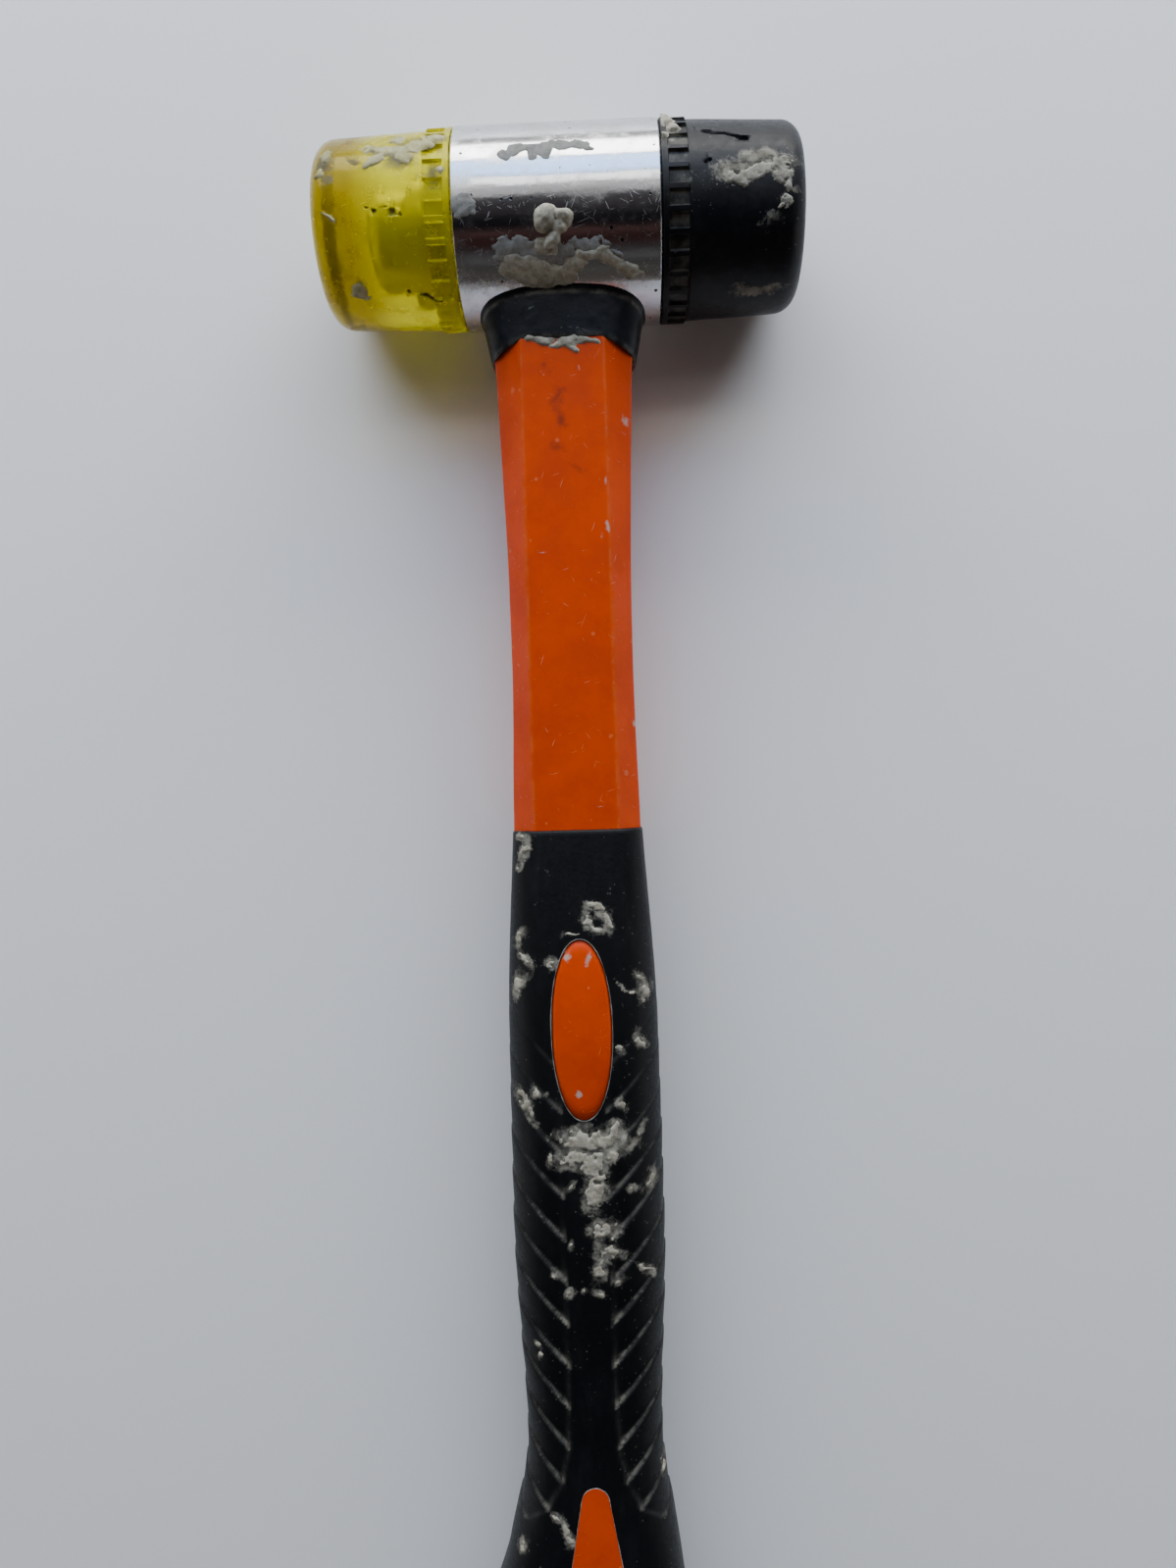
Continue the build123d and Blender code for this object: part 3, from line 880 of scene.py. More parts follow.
def rod_outline():
    """Outline of the rod with as many points as the bar's: straight sides and half-round ends."""
    count = len(eight_sided(13 * mm, 9 * mm, 8 * mm, 4 * mm, mm))
    turn = np.linspace(0, 2 * np.pi, count, endpoint=False)
    flat = rod_half_width - rod_half_thickness
    x = rod_half_thickness * np.sin(turn - 0.75) + flat * np.sign(np.sin(turn - 0.75))
    return np.stack([x, rod_half_thickness * np.cos(turn - 0.75)], -1)


def across_handle(outline, y):
    """An outline given as X and height over the handle's axis, set across the handle at y."""
    return np.stack([outline[:, 0], np.full(len(outline), y), axis_z + outline[:, 1]], -1)


def grip_sizes(y):
    """Half width, half thickness and lean of the grip's section at y, and how square the section is."""
    from_butt = np.asarray(y) - butt_y
    places = np.array([0, 2, 5, 12, 30, 53, 93, 132, 170.5]) * mm
    widths = np.array([14.2, 17.1, 18.9, 20.0, 16.75, 13.4, 15.0, 14.7, 12.7]) * mm
    thicknesses = np.array([7.4, 10.1, 11.9, 13.0, 12.0, 10.8, 11.7, 11.3, 9.3]) * mm
    leans = np.array([-2.4, -2.4, -2.4, -2.4, -0.8, 0, 0, 0, 0]) * mm
    squares = [3.0, 3.0, 3.0, 3.0, 2.9, 2.7, 2.6, 2.7, 4.0]
    return [smooth_through(from_butt, places, row) for row in (widths, thicknesses, leans, squares)]


def grip_outline(y, share):
    """Places and outward directions on the grip's section at each y, by share of the way round it from
    the front's middle over +X. The section is a rounded square: both sides raised to one power."""
    half_width, half_thickness, lean, square = (s[:, None] for s in grip_sizes(np.asarray(y).ravel()))
    turn = np.linspace(0, 2 * np.pi, 721)[None, :]
    sine, cosine = np.sin(turn), np.cos(turn)
    x = half_width * np.sign(sine) * np.abs(sine) ** (2 / square)
    z = half_thickness * np.sign(cosine) * np.abs(cosine) ** (2 / square)
    walked = np.zeros(x.shape)
    walked[:, 1:] = np.cumsum(np.hypot(np.diff(x), np.diff(z)), axis=1)
    picked_x = np.stack([np.interp(share * w[-1], w, row) for w, row in zip(walked, x)])
    picked_z = np.stack([np.interp(share * w[-1], w, row) for w, row in zip(walked, z)])
    across = np.sign(picked_x) * np.abs(picked_x / half_width) ** (square - 1) / half_width
    upward = np.sign(picked_z) * np.abs(picked_z / half_thickness) ** (square - 1) / half_thickness
    length = np.hypot(across, upward)
    return picked_x + lean, picked_z, across / length, upward / length


def grip_height(x, y):
    """How far the grip's plain surface stands above the handle's axis at x and y."""
    half_width, half_thickness, lean, square = grip_sizes(np.ravel(y))
    inside = np.clip(np.abs(np.ravel(x) - lean) / half_width, 0, 0.999)
    return (half_thickness * (1 - inside**square) ** (1 / square)).reshape(np.shape(y))


def join_meshes(name, pieces):
    """One object made of several, with all their faces."""
    bpy.ops.object.select_all(action="DESELECT")
    for piece in pieces:
        piece.select_set(True)
    bpy.context.view_layer.objects.active = pieces[0]
    bpy.ops.object.join()
    pieces[0].name = name
    return pieces[0]


def mould_shank():
    """The jacket's main skin: the rod's bore from its closed end up to the neck, then back down outside
    over the shank and the tang. The shank's width swells and narrows, and its flats wander slightly."""
    waist_y = shoulder_y - 0.62 * (shoulder_y - grip_y)
    places = [grip_y, waist_y, shoulder_y, shank_top]
    bore = rod_outline()
    rings = [across_handle(bore, rod_low.y), across_handle(bore, shank_top)]
    top_width = smooth_through(shank_top, places, shank_half_widths)
    rest = (shank_half_flat, shank_half_side, bevel_rounding)
    lip = eight_sided(top_width - 0.3 * mm, shank_half_thickness - 0.3 * mm, *rest)
    rings.append(across_handle(lip, shank_top))
    for y in np.linspace(shank_top - 0.3 * mm, grip_y, 230):
        half_width = smooth_through(y, places, shank_half_widths)
        outline = eight_sided(half_width, shank_half_thickness, *rest)
        ring = across_handle(outline, y)
        away = ring - np.array([0, y, axis_z])
        away /= np.linalg.norm(away, axis=1)[:, None]
        rings.append(ring + 0.16 * mm * (lumps(ring, 14 * mm, 41, 3) - 0.5)[:, None] * away)
    tang = eight_sided(tang_half_width, tang_half_thickness, 7 * mm, 4.25 * mm, 0.8 * mm)
    for y in np.linspace(grip_y, tang_end, 12):
        rings.append(across_handle(tang, y))
    rings = np.array(rings)
    x = rings[..., 0] / mm
    down = (head_y - rings[..., 1]) / mm
    marks = splash(x, down, shank_stains, 61, 0.8, 1.2)
    edge = np.exp(-(((np.abs(x) - shank_half_flat / mm) / 0.3) ** 2))
    flecks = splash(x, down, shank_flecks, 63, 0.5, 1.0)
    front = rings[..., 2] > axis_z
    values = {"stain": np.where(front, marks, -1.0), "plaster": np.where(front, flecks, -1.0), "edge": edge}
    ends = [np.array([[0, y, axis_z]]) for y in (rod_low.y, tang_end)]
    return skin("orange_shank", rings, *ends, values=values)


def oval_edge(turn, growth):
    """Points on the oval window's edge by angle from +Y, from its middle and larger all round by growth:
    both sine and cosine are raised to a little under 1, which squares the ellipse slightly."""
    power = 2 / 2.12
    x = (window_half_width + growth) * np.sign(np.sin(turn)) * np.abs(np.sin(turn)) ** power
    y = (window_half_length + growth) * np.sign(np.cos(turn)) * np.abs(np.cos(turn)) ** power
    return x, y


def mould_pad(name, side):
    """Domed oval pad from the tang up to the grip's surface and a little over it: rings out from the
    middle, then down its edge. side is 1 at the front and -1 at the back."""
    share = np.concatenate([np.linspace(0.02, 0.9, 26), np.linspace(0.925, 1, 6)])[:, None]
    turn = np.linspace(0, 2 * np.pi, 120, endpoint=False)[None, :]
    edge_x, edge_y = oval_edge(turn, 0)
    x = edge_x * share
    y = window_y + edge_y * share
    dome = 0.75 * mm * (1 - share**2) - 0.55 * mm * np.clip((share - 0.86) / 0.14, 0, 1) ** 2
    z = grip_height(x, y) + dome + 0.12 * mm * (lumps(np.stack([x, y, 0 * x], -1), 5 * mm, 43) - 0.5)
    top = np.stack([x, y, axis_z + side * z], -1)
    foot = top[-1].copy()
    foot[:, 2] = axis_z + side * 7.2 * mm
    rings = np.concatenate([top, foot[None]])
    middle = np.array([[0, window_y, top[0, 0, 2]]])
    floor = np.array([[0, window_y, foot[0, 2]]])
    flecks = splash(rings[..., 0] / mm, (head_y - rings[..., 1]) / mm, shank_flecks, 63, 0.5, 1.0)
    values = {"plaster": flecks + (0.3 if side > 0 else -2), "stain": flecks * 0 - 1}
    return skin(name, rings, middle, floor, values=values)


def upright_block(name, outline, middle_y):
    """Straight block over an outline, from well under the grip to well over it."""
    heights = (axis_z - cutter_reach, axis_z + cutter_reach)
    rings = [np.column_stack([outline, np.full(len(outline), z)]) for z in heights]
    return skin(name, np.array(rings), *[np.array([[0, middle_y, z]]) for z in heights])


def tongue_prism(name, growth):
    """Upright block with the tongue's outline: a small arc at the apex, straight sides that widen to
    the hanging hole, then parallel sides past the butt's end."""
    tip = np.array([0, tongue_apex - tongue_tip_radius])
    base = np.array([0, hole_y])
    flank = np.arcsin((tongue_radius - tongue_tip_radius) / (tip[1] - base[1]))
    turn = np.linspace(flank, np.pi - flank, 24)
    arc = tip + (tongue_tip_radius + growth) * np.stack([np.cos(turn), np.sin(turn)], -1)
    swell = np.linspace(np.pi - flank, np.pi, 6)
    left = base + (tongue_radius + growth) * np.stack([np.cos(swell), np.sin(swell)], -1)
    right = left[::-1] * np.array([-1, 1])
    last = butt_y - 5 * mm
    foot = np.array([[-tongue_radius - growth, last], [tongue_radius + growth, last]])
    outline = np.vstack([arc, left, foot, right])
    return upright_block(name, outline, hole_y)


def oval_prism(name, growth):
    """Upright block with the oval window's outline."""
    x, y = oval_edge(np.linspace(0, 2 * np.pi, 120, endpoint=False), growth)
    return upright_block(name, np.stack([x, window_y + y], -1), window_y)


def hole_prism(name, growth):
    """Upright round pin for the hanging hole, flared at both surfaces."""
    turn = np.linspace(0, 2 * np.pi, 64, endpoint=False)
    half = grip_height(np.array([0.0]), np.array([hole_y]))[0]
    rings = []
    upper = [(half - 0.9 * mm, 0), (half, 0.6), (cutter_reach, 3)]
    for height, radius in [(-height, radius) for height, radius in reversed(upper)] + upper:
        size = hole_radius + growth + radius * mm
        place = np.full(64, axis_z + height)
        rings.append(np.stack([size * np.cos(turn), hole_y + size * np.sin(turn), place], -1))
    ends = [np.array([[0, hole_y, axis_z + z]]) for z in (-cutter_reach, cutter_reach)]
    return skin(name, np.array(rings), *ends)


def carve(piece, cutter, operation):
    """Cuts a piece with another, or keeps only what they share, and removes the cutter."""
    knife = piece.modifiers.new("carve", "BOOLEAN")
    knife.operation = operation
    knife.solver = "EXACT"
    knife.object = cutter
    bpy.context.view_layer.update()
    shape = bpy.data.meshes.new_from_object(piece.evaluated_get(bpy.context.evaluated_depsgraph_get()))
    piece.modifiers.clear()
    piece.data = shape
    bpy.data.objects.remove(cutter)
    return piece


def grip_form(name, growth):
    """The grip's plain outer form, a little larger all round by growth."""
    fine = np.linspace(butt_y - growth, butt_y + 14 * mm, 40)
    y = np.concatenate([fine, np.linspace(butt_y + 15 * mm, butt_y + 60 * mm, 50)])
    x, z, across, upward = grip_outline(np.maximum(y, butt_y), np.linspace(0, 1, 160, endpoint=False))
    rings = np.stack([x + growth * across, y[:, None] + 0 * x, axis_z + z + growth * upward], -1)
    ends = [np.array([[0, place, axis_z]]) for place in (y[0], y[-1])]
    return skin(name, rings, *ends)


def orange_finish():
    """Glossy orange plastic: clouded by fine wear, with pale hairlines, brown rubs and dark specks."""
    made, tree, shader, where = new_material(
        "orange_plastic", Base_Color=(0.46, 0.04, 0.0, 1), Roughness=0.4, Specular_IOR_Level=0.16
    )
    cloud = remap(tree, noise(tree, where, 90.0, 5.0, 0.65), 0.35, 0.7)
    lines = place_group(tree, scratches, Vector=where, Share=0.22).outputs["Mask"]
    dots = place_group(tree, specks, Vector=where, Scale=700.0, Share=0.035).outputs["Mask"]
    ragged = maths(tree, "MULTIPLY", noise(tree, where, 600.0, 6.0, 0.75), 2.2)
    rub = remap(tree, maths(tree, "ADD", attribute(tree, "stain"), ragged), 0.7, 2.1)
    tone = mix_colour(tree, cloud, (0.64, 0.050, 0.0, 1), (0.53, 0.038, 0.0, 1))
    tone = mix_colour(tree, maths(tree, "MULTIPLY", rub, 0.7), tone, (0.13, 0.022, 0.006, 1))
    # Pale orange in patches along the two edges of the front flat: partly edge wear, partly a painted
    # highlight on the rounded edges.
    wear_and_highlight = remap(tree, noise(tree, where, 300.0, 5.0, 0.7), 0.3, 0.62)
    wear_and_highlight = maths(tree, "MULTIPLY", attribute(tree, "edge"), wear_and_highlight)
    tone = mix_colour(tree, maths(tree, "MULTIPLY", wear_and_highlight, 0.5), tone, (0.62, 0.14, 0.035, 1))
    tone = mix_colour(tree, maths(tree, "MULTIPLY", lines, 0.55), tone, (0.80, 0.36, 0.18, 1))
    tone = mix_colour(tree, maths(tree, "MULTIPLY", dots, 0.28), tone, (0.72, 0.28, 0.12, 1))
    film = place_group(tree, plaster_film, Vector=where, Amount=attribute(tree, "plaster"), Edge=0.5)
    tone = mix_colour(tree, film.outputs["Mask"], tone, (0.50, 0.33, 0.27, 1))
    tree.links.new(tone, shader.inputs["Base Color"])
    scratched = maths(tree, "MULTIPLY", lines, 0.6)
    rough = maths(tree, "MAXIMUM", remap(tree, cloud, 0.0, 1.0, 0.30, 0.44), scratched)
    tree.links.new(rough, shader.inputs["Roughness"])
    waves = maths(tree, "MULTIPLY", noise(tree, where, 240.0, 4.0), 0.5)
    relief = maths(tree, "ADD", waves, maths(tree, "MULTIPLY", lines, -0.25))
    raise_relief(tree, shader, relief, 0.35, 0.0003)
    return made


# Brown rubs on the shank: (across, down from the head's axis, half sizes, turn, strength), mm.
shank_stains = [
    (-1.4, 36.5, 1.6, 2.6, 10, 1.0),
    (-0.8, 40.8, 1.2, 1.5, 0, 1.0),
    (-1.6, 45.5, 2.6, 1.6, 15, 0.7),
    (2.0, 50.0, 3.0, 1.0, 30, 0.55),
    (-3.0, 31.0, 2.2, 1.4, 20, 0.5),
]
# Pale flecks and scuffs on the shank, as above.
shank_flecks = [
    (12.2, 40.2, 0.8, 1.7, 0, 1.1),
    (11.6, 42.6, 0.7, 0.8, 0, 1.0),
    (7.7, 52.6, 0.4, 1.6, 10, 0.9),
    (7.4, 61.2, 0.5, 2.0, -35, 1.0),
    (6.6, 62.6, 0.4, 0.8, -20, 0.8),
    (7.0, 71.0, 1.9, 0.3, 4, 0.8),
    (-4.4, 66.4, 1.4, 0.25, 10, 0.7),
    (3.6, 30.4, 0.5, 1.0, 0, 0.7),
    (-3.6, 31.2, 0.5, 0.6, 0, 0.9),
    (-5.6, 113.4, 0.9, 0.3, 25, 0.8),
    (11.6, 98.4, 0.5, 0.9, 0, 1.0),
    (5.0, 114.6, 1.7, 0.2, 0, 0.8),
    (-4.9, 116.6, 0.4, 0.3, 0, 0.7),
    (-4.6, 141.6, 1.3, 1.6, 0, 1.0),
    (-2.6, 143.0, 1.0, 1.0, 0, 0.9),
    (1.8, 143.2, 1.0, 1.5, 20, 0.8),
    (-1.2, 168.0, 0.8, 0.7, 0, 1.0),
]
orange_plastic = orange_finish()
tongue = carve(grip_form("orange_tongue", 0.15 * mm), tongue_prism("cutter", 0), "INTERSECT")
tongue = carve(tongue, hole_prism("cutter", 0), "DIFFERENCE")
tongue.data.shade_smooth()
tongue.data.set_sharp_from_angle(angle=math.radians(35))
for label in ("plaster", "stain"):
    clean = tongue.data.attributes.new(label, "FLOAT", "POINT")
    clean.data.foreach_set("value", np.full(len(tongue.data.vertices), -1.0, np.float32))
shank = mould_shank()
front_pad = mould_pad("orange_oval_front", 1)
back_pad = mould_pad("orange_oval_back", -1)
for piece in (shank, front_pad, back_pad, tongue):
    piece.data.materials.clear()
    piece.data.materials.append(orange_plastic)
jacket = join_meshes("orange_jacket", [shank, front_pad, back_pad, tongue])
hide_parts("handle_jacket")
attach(jacket, "mallet")

# ---- Grip ----
# Soft black rubber moulded over the tang, round the pads and the tongue. Both flanks carry slanting
# steps, each sloping in towards its lower line, which stop at a smooth spine that opens like a bell
# above the flare. The rubber is dusty in its grooves and splashed with plaster.
groove_pitch = 8.03
groove_first = 196.8
groove_slope = 0.92
groove_depth = 0.85 * mm
tang_clearance = 0.05 * mm


def groove_field(x, z, y):
    """Depth of the steps and dustiness of their lines, each from 0 to 1, on the grip's surface.
    The steps follow lines that rise away from the spine. Across them the depth grows slowly to its
    full value and comes back at once. The lines widen where they end at the spine."""
    half_width, half_thickness, lean, square = grip_sizes(y.ravel())
    down = (head_y - y) / mm
    from_front = (half_thickness.reshape(y.shape) - np.abs(z)) / mm
    out = np.abs(x - lean.reshape(y.shape)) / mm + 0.2 * from_front
    spine = np.interp(down, [0, 226, 237, 243, 248, 251, 256], [4.1, 4.2, 4.7, 6.2, 9.0, 14.0, 60.0])
    phase = (down + groove_slope * (out - 4.2) - groove_first) / groove_pitch
    share = phase - np.floor(phase)
    step = np.where(share < 0.93, (share / 0.93) ** 1.4, (1 - share) / 0.07)
    end = np.clip((out - spine) / 1.3, 0, 1)
    end = end * end * (3 - 2 * end)
    begin = np.interp(down + groove_slope * (out - 4.2), [158, 166, 198], [0, 0.25, 1])
    off = np.abs(share - 0.93) * groove_pitch * 0.72
    width = 0.24 + 0.95 * np.exp(-np.clip(out - spine, 0, None) / 0.9)
    line = np.exp(-((off / width) ** 2)) * np.clip((out - spine + 0.3) / 0.5, 0, 1) * begin
    line = line * np.interp(out - spine, [0, 1.2, 3, 9], [1.0, 0.85, 0.5, 0.24])
    aside = np.interp(from_front, [0.5, 7.0], [1.0, 0.4])
    ridge = np.exp(-(((out - spine - 0.3) / 0.35) ** 2)) * np.interp(down, [205, 235], [0.0, 0.13])
    line = np.maximum(line, ridge * (down < 251))
    line = line * np.interp(down, [238, 247, 253], [1.0, 0.6, 0.05])
    return (0.82 * step + 0.18) * end * begin * aside, line


def grip_surface(y, share, rise=0.0):
    """Points on the grooved grip at each y and share of the way round, raised by rise, and the dust."""
    x, z, across, upward = grip_outline(y, share)
    place = np.broadcast_to(np.asarray(y)[:, None], x.shape)
    step, line = groove_field(x, z, place)
    solid = np.stack([x, place, z], -1)
    lift = rise - groove_depth * step - 0.15 * mm * line + 0.12 * mm * (lumps(solid, 6 * mm, 71, 3) - 0.5)
    points = np.stack([x + lift * across, place, axis_z + z + lift * upward], -1)
    return points, line


# Plaster on the grip's front: (across, down from the head's axis, half sizes, turn, strength), mm.
grip_spots = [
    (3.6, 133.9, 2.1, 0.9, 20, 1.0),
    (1.9, 136.4, 1.0, 1.8, 0, 1.0),
    (5.0, 136.6, 0.9, 1.9, -15, 1.0),
    (3.2, 138.0, 1.8, 0.7, 0, 0.9),
    (-1.5, 138.6, 1.5, 0.5, -10, 0.9),
    (-6.1, 143.7, 1.6, 1.1, 30, 0.8),
    (-11.4, 139.6, 0.9, 2.2, 25, 0.9),
    (-10.6, 143.0, 1.0, 1.6, -30, 0.9),
    (-12.0, 148.4, 1.2, 2.8, 10, 1.1),
    (7.2, 148.6, 1.9, 0.28, 22, 1.0),
    (11.3, 147.2, 1.9, 1.3, 35, 1.0),
    (11.9, 150.4, 1.3, 2.2, 0, 1.0),
    (9.4, 149.6, 1.3, 0.6, 10, 0.9),
    (11.2, 159.6, 1.1, 2.2, -20, 0.8),
    (7.3, 161.0, 1.4, 1.1, 0, 0.6),
    (-11.4, 171.4, 1.1, 3.2, -38, 1.1),
    (-9.6, 169.4, 1.1, 1.2, 0, 0.9),
    (-7.2, 168.9, 0.5, 0.7, 0, 0.9),
    (7.2, 171.2, 0.8, 2.0, -20, 0.7),
    (9.6, 177.6, 1.2, 3.4, 35, 0.7),
    (1.0, 177.6, 5.4, 1.9, 6, 1.3),
    (4.8, 176.2, 2.4, 1.3, -30, 1.1),
    (-2.4, 180.6, 2.7, 2.2, -20, 1.1),
    (1.6, 181.8, 2.6, 2.4, 30, 1.2),
    (5.6, 180.4, 1.2, 2.0, 40, 0.9),
    (-6.6, 181.0, 0.9, 2.0, 0, 0.8),
    (1.7, 186.6, 1.8, 3.4, 8, 1.2),
    (-3.4, 186.3, 0.7, 1.5, 20, 0.8),
    (8.4, 187.3, 1.4, 1.2, 20, 0.7),
    (12.3, 186.5, 1.2, 2.2, 30, 0.9),
    (3.2, 194.6, 2.4, 2.0, -10, 1.2),
    (5.0, 198.4, 2.3, 1.2, 15, 1.1),
    (2.4, 201.5, 1.2, 2.6, 10, 1.1),
    (-2.9, 197.6, 0.6, 1.3, 0, 0.9),
    (-3.4, 206.3, 1.0, 1.2, 30, 0.9),
    (-0.5, 206.3, 0.7, 0.7, 0, 0.9),
    (2.0, 206.4, 1.0, 0.9, 0, 0.9),
    (10.9, 203.1, 2.6, 0.9, 48, 1.1),
    (6.3, 203.8, 1.0, 1.0, 0, 0.9),
    (-6.8, 202.7, 0.8, 0.9, 0, 0.9),
    (-10.1, 217.0, 1.0, 1.0, 0, 1.0),
    (-9.9, 219.2, 0.7, 1.2, 10, 1.0),
    (-5.8, 251.3, 0.8, 2.4, -20, 1.0),
    (-7.6, 249.0, 0.7, 0.9, 0, 0.9),
    (-13.8, 255.7, 0.8, 1.8, 20, 0.9),
    (13.2, 242.8, 0.7, 1.8, 0, 1.0),
    (-10.3, 120.6, 1.6, 0.8, 0, 1.1),
    (-10.0, 123.0, 0.8, 1.6, 30, 1.0),
    (-11.6, 125.6, 0.8, 0.9, 0, 0.7),
]


def mould_grip():
    """The grip's skin: the tang's bore from its closed end up to the mouth, then the rolled edge and the
    grooved outside down to the butt. The windows and the hanging hole are cut through it."""
    share = np.linspace(0, 1, 184, endpoint=False)
    bore_x = tang_half_width + tang_clearance
    bore_z = tang_half_thickness + tang_clearance
    turn = 2 * np.pi * share
    bore = np.stack(
        [
            bore_x * np.sign(np.sin(turn)) * np.abs(np.sin(turn)) ** 0.45,
            bore_z * np.sign(np.cos(turn)) * np.abs(np.cos(turn)) ** 0.45,
        ],
        -1,
    )
    rings = [across_handle(bore, y) for y in (tang_end - 0.1 * mm, grip_y)]
    for y, inset in ((grip_y, 0.45), (grip_y - 0.12 * mm, 0.15)):
        edge, _ = grip_surface(np.array([y]), share, -inset * mm)
        rings.append(edge[0])
    fine = np.concatenate(
        [
            np.linspace(grip_y - 0.4 * mm, head_y - 156 * mm, 60),
            np.linspace(head_y - 156.3 * mm, head_y - 254 * mm, 330),
            np.linspace(head_y - 254.8 * mm, butt_y + 6 * mm, 34),
            butt_y + 6 * mm * (1 - np.sin(np.linspace(0.12, np.pi / 2, 14))),
        ]
    )
    outside, _ = grip_surface(fine, share)
    rings = np.concatenate([np.array(rings), outside])
    ends = [np.array([[0, tang_end - 0.1 * mm, axis_z]]), np.array([[-2.4 * mm, butt_y, axis_z]])]
    piece = skin("rubber_grip", rings, *ends)
    carve(piece, oval_prism("cutter", 0.12 * mm), "DIFFERENCE")
    carve(piece, tongue_prism("cutter", 0.1 * mm), "DIFFERENCE")
    mesh = piece.data
    mesh.shade_smooth()
    mesh.set_sharp_from_angle(angle=math.radians(50))
    points = np.zeros(len(mesh.vertices) * 3)
    mesh.vertices.foreach_get("co", points)
    points = points.reshape(-1, 3)
    step, line = groove_field(points[:, 0], points[:, 2] - axis_z, points[:, 1])
    front = points[:, 2] > axis_z
    film = splash(points[:, 0] / mm, (head_y - points[:, 1]) / mm, grip_spots, 81, 0.5, 1.8)
    values = {"hollow": line, "plaster": np.where(front, film + 0.5, -1.0)}
    for label, numbers in values.items():
        layer = mesh.attributes.new(label, "FLOAT", "POINT")
        layer.data.foreach_set("value", numbers.astype(np.float32))
    return piece


grip_rubber = rubber_finish(
    "grip_rubber", (0.003, 0.0035, 0.0045, 1), (0.010, 0.0105, 0.012, 1), 0.48, 1300.0, 0.00025, 1.0
)
grip = mould_grip()
grip.data.materials.clear()
grip.data.materials.append(grip_rubber)
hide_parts("grip")
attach(grip, "mallet")

# ---- Neck collar ----
# A tapered rubber boot on the top of the shank. It is hollowed to the head's curve above, where its
# lip flares a little, and ends below in a rolled edge that is level across the front and drops at the
# sides.


def mould_collar():
    """Closed band round the shank. Each line of it runs from the inside's lower edge up, over the head's
    curve and down the outside. The lower edge is an arc: highest at the middle of the front."""
    turn = np.linspace(0, 2 * np.pi, 200, endpoint=False)
    power = 2 / 3.1
    right = np.sign(np.sin(turn)) * np.abs(np.sin(turn)) ** power
    front = np.sign(np.cos(turn)) * np.abs(np.cos(turn)) ** power
    aside = np.clip((np.abs(right) - 0.48) / 0.52, 0, 1)
    lower = neck_y - 6.5 * mm - 2.7 * mm * aside**1.5
    rings = []

    def band(half_width, half_thickness, height, growth):
        """One line round the boot: outer sizes at that share of the way from its lower edge to the head."""
        x = right * (half_width + growth)
        z = front * (half_thickness + growth)
        top = head_y - np.sqrt(np.maximum((head_radius + 0.03 * mm) ** 2 - z * z, 0))
        y = lower * (1 - height) + top * height
        return np.stack([x, y, axis_z + z], -1)

    inner_width, inner_thickness = 13.35 * mm, 8.65 * mm
    rings.append(band(inner_width, inner_thickness, 0.04, 0))
    rings.append(band(inner_width + 0.3 * mm, inner_thickness, 1.0, 0))
    rings.append(band(15.7 * mm, 9.75 * mm, 1.0, 0.35 * mm))
    rings.append(band(15.7 * mm, 9.75 * mm, 0.985, 0.5 * mm))
    for height in np.linspace(0.95, 0.06, 30):
        flare = 0.45 * mm * np.exp(-(1 - height) / 0.05)
        half_width = 14.05 * mm + (15.75 - 14.05) * mm * height**0.9
        half_thickness = 9.35 * mm + 0.45 * mm * height
        rings.append(band(half_width, half_thickness, height, flare))
    for height, inset in ((0.03, 0.06), (0.008, 0.2), (0.0, 0.4), (0.01, 0.55)):
        rings.append(band(14.1 * mm, 9.35 * mm, height, -inset * mm))
    rings = np.array(rings)
    outside = np.arange(len(rings))[:, None] >= 3
    solid = rings - np.array([0, 0, axis_z])
    ripple = 0.35 * mm * (lumps(solid, 4.5 * mm, 91, 3) - 0.5) * outside
    away = np.stack([right, 0 * right, front], -1)
    rings = rings + ripple[..., None] * away / np.linalg.norm(away, axis=1)[:, None]
    upper = head_y - np.sqrt(np.maximum(head_radius**2 - (rings[..., 2] - axis_z) ** 2, 0))
    low_edge = np.exp(-(((rings[..., 1] - lower) / (0.6 * mm)) ** 2))
    top_edge = np.exp(-(((rings[..., 1] - upper + 1.0 * mm) / (0.35 * mm)) ** 2))
    low_edge = np.maximum(low_edge, top_edge) * outside
    front_film = splash(rings[..., 0] / mm, (head_y - rings[..., 1]) / mm, collar_spots, 93, 0.5, 2.0)
    film = np.where(outside & (rings[..., 2] > axis_z), front_film, -1.0)
    return skin("rubber_collar", rings, loop=True, values={"hollow": low_edge, "plaster": film})


# Dust on the collar's front: (across, down from the head's axis, half sizes, turn, strength), mm.
collar_spots = [
    (-1.0, 20.5, 6.0, 0.5, 22, 0.55),
    (-5.5, 19.6, 2.2, 0.5, -20, 0.55),
    (2.5, 23.4, 5.0, 0.5, 8, 0.5),
]
collar_rubber = rubber_finish(
    "collar_rubber", (0.003, 0.004, 0.007, 1), (0.012, 0.014, 0.020, 1), 0.36, 800.0, 0.0003, 0.5
)
collar = mould_collar()
collar.data.materials.append(collar_rubber)
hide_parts("neck_collar")
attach(collar, "mallet")

# ---- Dried plaster ----
# Splashes of plaster that dried on the tool: thin raised crusts with ragged edges, matt and gritty.
# Each crust is its own closed piece and rides on the part that it sticks to.


